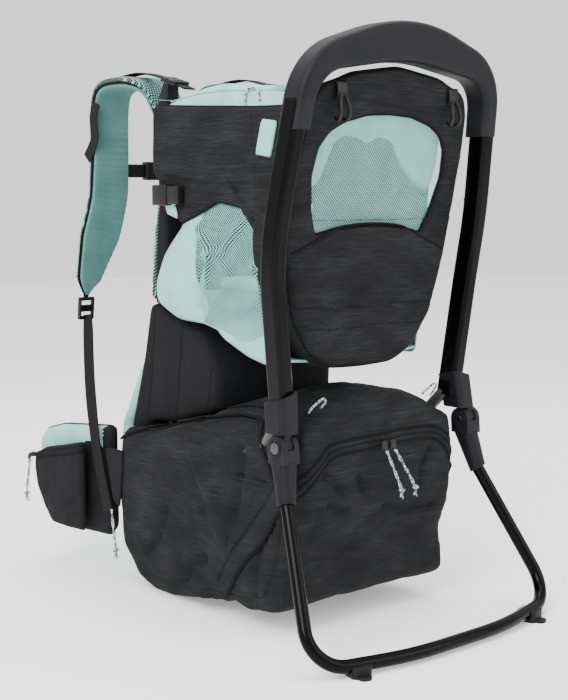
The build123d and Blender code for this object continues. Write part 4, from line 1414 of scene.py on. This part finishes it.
STRAP_PATH = [(386, 640), (386, 690), (393, 715), (412, 726), (440, 728), (474, 725), (492, 712), (499, 680),
              (500, 620), (503, 560), (509, 505), (517, 460), (525, 413)]
STRAP_WIDTHS = ([413, 430, 460, 500, 530, 560, 620, 800],
                [118, 106, 92, 74, 68, 63, 63, 63], [132, 140, 141, 141, 134, 128, 125, 125])
STRAP_THICKNESS = 16.0
STRAP_INNER, STRAP_OUTER = 63.0, 125.0
STRAP_FALLS_AT = 485
ROOT_SHIFT = 34.0
LINING_TOP = -1.0


def strap_frame(side):
    """Centre line, half widths and across directions of one shoulder pad."""
    path = flowing(STRAP_PATH, 150)
    length = np.concatenate([[0], np.cumsum(np.linalg.norm(np.diff(path, axis=0), axis=1))])
    falling = path[:, 0] > STRAP_FALLS_AT
    root_shift = ROOT_SHIFT * (1 - ease(length, 40.0, 105.0))
    heights, inner_edge, outer_edge = STRAP_WIDTHS
    inner = np.where(falling, np.interp(path[:, 1], heights, inner_edge), STRAP_INNER - 0.6 * root_shift)
    outer = np.where(falling, np.interp(path[:, 1], heights, outer_edge), STRAP_OUTER - root_shift)
    inner, outer = (rounded(np.stack([length, edge], axis=1), 150, 6)[:, 1] for edge in (inner, outer))
    line = np.column_stack([side * (inner + outer) / 2, path])
    return line, (outer - inner) / 2, length


for hand, side in SIDES:
    line, half, length = strap_frame(side)
    along = directions(line)
    up = np.cross(along, (1.0, 0, 0))
    up /= np.linalg.norm(up, axis=1, keepdims=True)
    if up[75] @ (0, 1.0, 0.4) < 0:
        up = -up
    tip = np.clip((length[-1] - length) / 26.0, 0, 1) ** 0.5
    root = np.clip(length / 12.0, 0, 1) ** 0.5
    taper = np.maximum(tip * root, 0.06)
    spread = np.maximum(taper, 0.35)
    for label, low, high, slot, material, widen in (
            ("lining", -STRAP_THICKNESS / 2, LINING_TOP, "mint_fabric", SHADED_MINT, 0.96),
            ("outer", LINING_TOP, STRAP_THICKNESS / 2, "strap_mesh", None, 1.0)):
        section = lozenge(1.0, 1.0, 5.0, 40)
        height = (high - low) / 2
        middle = (high + low) / 2
        if label == "outer":
            ribs = 1.0 + 0.10 * creased(line, 55.0, 3.0)
        else:
            ribs = 1.0 + 0.30 * ease(length, 180.0, 230.0) * np.cos(length / 9.5 * 2 * math.pi)
        profile = np.stack([half * widen * spread, height * taper * ribs], axis=1)
        offset_line = line + up * (middle * taper)[:, None]
        pad = sweep(offset_line, section, (1, 0, 0), grow=profile)
        make(f"shoulder_{label}_{hand}", pad, "shoulder_harness", slot, material,
             replaces=[f"shoulder_pad_{hand}"] if label == "outer" else [])
    reach = np.outer(half * spread, (1, 0, 0))
    loop = np.vstack([line - reach - up, (line + reach - up)[::-1]])
    make(f"shoulder_piping_{hand}", tube(loop, 1.9, closed=True), "shoulder_harness", "dark_fabric", PIPING)
    # Loose end of webbing that hangs from the lifter's lock.
    tail = flowing(handed([(126, 486, 700), (127.5, 492, 679), (127.5, 489, 650), (127.5, 500, 632),
                           (127.5, 511, 620)], side), 40)
    make(f"lifter_tail_{hand}", strap(tail, (0, 1, 0.1), 9.5, 1.8), "shoulder_harness", "black_webbing")

yoke_outline = rounded([(-66, 612), (66, 612), (66, 700), (-66, 700)], 160, 5, closed=True)
yoke = Panel(yoke_outline, (0.0, 656.0), lambda x, z, lift: np.stack([x, 386 + lift, z], axis=-1), 12.0,
             edge=5.0, crown=1.5, crown_width=25.0, step=5.0)
make("yoke_cover", yoke.mesh(), "shoulder_harness", "dark_fabric", replaces=["yoke"])

LIFTER_PATH = [(300, 712), (330, 722), (352, 729), (387, 737), (412, 740), (440, 739), (468, 735), (484, 729)]
ADJUSTER_PATH = [(125, 520, 385), (128, 515, 362), (146, 485, 292), (160, 455, 230), (163, 440, 180),
                 (162, 425, 130), (161.5, 417, 104)]
lifter_shape = Shape()
adjuster_shape = Shape()
for _, side in SIDES:
    lifter = flowing([(side * 94, y, z) for y, z in LIFTER_PATH], 70)
    lifter_shape.add(*strap(lifter, (1, 0, 0), 10.0, 2.2))
    adjuster = flowing(handed(ADJUSTER_PATH, side), 80)
    adjuster_shape.add(*strap(adjuster, (side * 0.15, 1.0, 0.45), 9.0, 2.0))
lifter_piece = make("lifter_webbing", lifter_shape, None, "black_webbing", replaces=["load_lifters"])
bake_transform(lifter_piece)
adjuster_piece = make("adjuster_webbing", adjuster_shape, None, "black_webbing", replaces=["adjuster_straps"])
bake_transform(adjuster_piece)

# Chest strap, in two halves.
CHEST_Y, CHEST_Z = 501, 602
for hand, start, end in (("left", -63.5, -30), ("right", 29, 63.5)):
    route = flowing([(start, CHEST_Y, CHEST_Z), ((start + end) / 2, CHEST_Y + 1, CHEST_Z),
                     (end, CHEST_Y, CHEST_Z)], 16)
    piece = make(f"chest_webbing_{hand}", strap(route, (0, 0, 1), 10.0, 2.2),
                 "shoulder_harness" if hand == "left" else None, "black_webbing",
                 replaces=[f"sternum_strap_{hand}"])
    if hand == "right":
        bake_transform(piece)


# ---- Hip wings ----------------------------------------------------------------------------------

WING_OUTLINE = [(430, 227), (480, 223), (545, 217), (584, 206), (597, 190), (598, 150), (590, 116), (570, 82),
                (548, 61), (500, 60), (440, 61), (429, 75)]
WING_CENTRE = (505.0, 142.0)
WING_MIDDLE = ([425, 500, 560, 600], [138, 147, 154, 160])
WING_DARK_BELOW = ([430, 466, 512, 584, 600], [190, 203, 190, 170, 160])
WING_ROOT_END = 446
HIP_POCKET_OUTLINE = [(466, 202), (515, 191), (560, 182), (588, 170), (592, 150), (584, 118), (566, 88),
                      (545, 66), (500, 65), (466, 66)]
HIP_POCKET_MIDDLE = ([466, 540, 595], [170, 174, 176])
HIP_ZIP = [(462, 192), (481, 188), (512, 181), (550, 174), (584, 165)]
WING_TUCKS = [[(470, 120), (494, 104)], [(476, 92), (496, 80)]]


def wing_relief(flat):
    return 1.6 * creased(raised(flat), 42.0, 13.0)


def hip_pocket_relief(flat):
    spots = raised(flat)
    relief = 2.2 * creased(spots, 38.0, 17.0) + 0.7 * creased(spots, 15.0, 3.0)
    for tuck in WING_TUCKS:
        relief -= 2.0 * crease(flat, tuck, 3.5)
    return relief


for hand, side in SIDES:
    wing = Panel(rounded(WING_OUTLINE, 220, 5, closed=True), WING_CENTRE,
                 side_place(side, lambda y, z: np.interp(y, *WING_MIDDLE)), 17.0, edge=8.0, crown=1.5,
                 crown_width=30.0, relief=wing_relief)
    wing_piece = make(f"hip_wing_pad_{hand}", wing.mesh(), f"hip_wing_{hand}", "mint_fabric",
                      replaces=[f"hip_wing_{hand}"])
    wing_piece.data.materials.append(LOOKS["dark_fabric"])
    centres = face_centres(wing_piece)
    outward_faces = np.abs(centres[:, 0]) > np.interp(centres[:, 1], *WING_MIDDLE) + 3.0
    below_zip = centres[:, 2] < np.interp(centres[:, 1], *WING_DARK_BELOW)
    near_root = centres[:, 1] < WING_ROOT_END
    wing_piece.data.polygons.foreach_set("material_index",
                                         ((outward_faces & below_zip) | near_root).astype(np.int32))
    pocket = Panel(rounded(HIP_POCKET_OUTLINE, 200, 5, closed=True), (526.0, 130.0),
                   side_place(side, lambda y, z: np.interp(y, *HIP_POCKET_MIDDLE)), 9.0, edge=5.0, crown=5.0,
                   crown_width=32.0, back_crown=-1.0, relief=hip_pocket_relief, step=3.6)
    make(f"hip_pocket_cover_{hand}", pocket.mesh(), f"hip_wing_{hand}", "dark_fabric",
         replaces=[f"hip_pocket_{hand}"])
    zip_line = flowing(HIP_ZIP, 60)
    make(f"hip_zip_{hand}", tube(pocket.front(zip_line, 0.6), 1.3), f"hip_wing_{hand}", "dark_fabric")
    border = tubes(*[(pocket.front(zip_line + (0, offset), 0.2), 0.9) for offset in (-5.5, 5.5)],
                   (wing.rim(), 1.5, True))
    make(f"hip_piping_{hand}", border, f"hip_wing_{hand}", "dark_fabric", PIPING)
    tab_line = flowing(handed([(184, 580, 168), (186.5, 592, 166), (186, 600, 160)], side), 12)
    pull_tab = sweep(tab_line, lozenge(3.6, 2.0, 4.0, 16), (0, 0.3, 1))
    make(f"hip_zip_slider_{hand}", pull_tab, f"hip_wing_{hand}", "buckle_plastic")

# Dark anchor flaps that join each wing's root to the lumbar pad and the bag's flank.
anchor_outline = rounded([(381, 199), (428, 198), (408, 120), (392, 112)], 100, 4, closed=True)
for hand, side in SIDES:
    anchor = Panel(anchor_outline, (402.0, 160.0), side_place(side, ANCHOR_OUT), 3.0, edge=1.5, crown=1.0,
                   crown_width=12.0)
    make(f"wing_anchor_{hand}", anchor.mesh(), "frame", "dark_fabric")

# Waist webbing, folded over a bar at its lower end.
HIP_STRAP_X = 122.5
HIP_STRAP_Y = 568.0
for hand, side in SIDES:
    x = side * HIP_STRAP_X
    drop = flowing([(x, HIP_STRAP_Y, 151), (x, HIP_STRAP_Y, 128), (x, HIP_STRAP_Y, 100)], 24)
    keeper = flowing([(x, HIP_STRAP_Y, 97), (x, HIP_STRAP_Y, 89)], 6)
    webbing = Shape()
    webbing.add(*strap(drop, (0, 1, 0), 10.0, 2.4))
    webbing.add(*sweep(keeper, lozenge(13.0, 3.5, 5.0, 24), (0, 1, 0)))
    make(f"waist_webbing_{hand}", webbing, f"hip_strap_{hand}", "black_webbing",
         replaces=[f"hip_strap_{hand}"])


# ---- Floor and light ----------------------------------------------------------------------------

floor_mesh = bpy.data.meshes.new("floor")
floor_mesh.from_pydata([(-6, -6, 0), (6, -6, 0), (6, 6, 0), (-6, 6, 0)], [], [[0, 1, 2, 3]])
floor = bpy.data.objects.new("floor", floor_mesh)
bpy.context.scene.collection.objects.link(floor)
floor_finish = Finish("pale_floor", (0.9, 0.9, 0.9), 0.9,
                      **{"Specular IOR Level": 0.1, "Emission Color": (1.0, 1.0, 1.0, 1.0),
                         "Emission Strength": 0.3})
floor_mesh.materials.append(floor_finish.material)


def lamp(name, place, aim, size, power):
    """A large soft lamp at place (m) pointing at aim (m)."""
    light = bpy.data.lights.new(name, "AREA")
    light.size = size
    light.energy = power
    holder = bpy.data.objects.new(name, light)
    bpy.context.scene.collection.objects.link(holder)
    holder.location = place
    holder.rotation_mode = "QUATERNION"
    holder.rotation_quaternion = (Vector(aim) - Vector(place)).to_track_quat("-Z", "Y")


lamp("key", (-2.2, -0.9, 2.0), (0, 0, 0.38), 1.6, 95)
lamp("overhead", (0.1, 0.2, 2.6), (0, 0, 0.3), 2.4, 70)
lamp("rear_fill", (1.2, -2.4, 1.4), (0, 0, 0.38), 1.8, 34)

sky = bpy.data.worlds.new("studio")
sky.use_nodes = True
sky.node_tree.nodes["Background"].inputs["Color"].default_value = (1.0, 1.0, 1.0, 1.0)
sky.node_tree.nodes["Background"].inputs["Strength"].default_value = 1.3
bpy.context.scene.world = sky
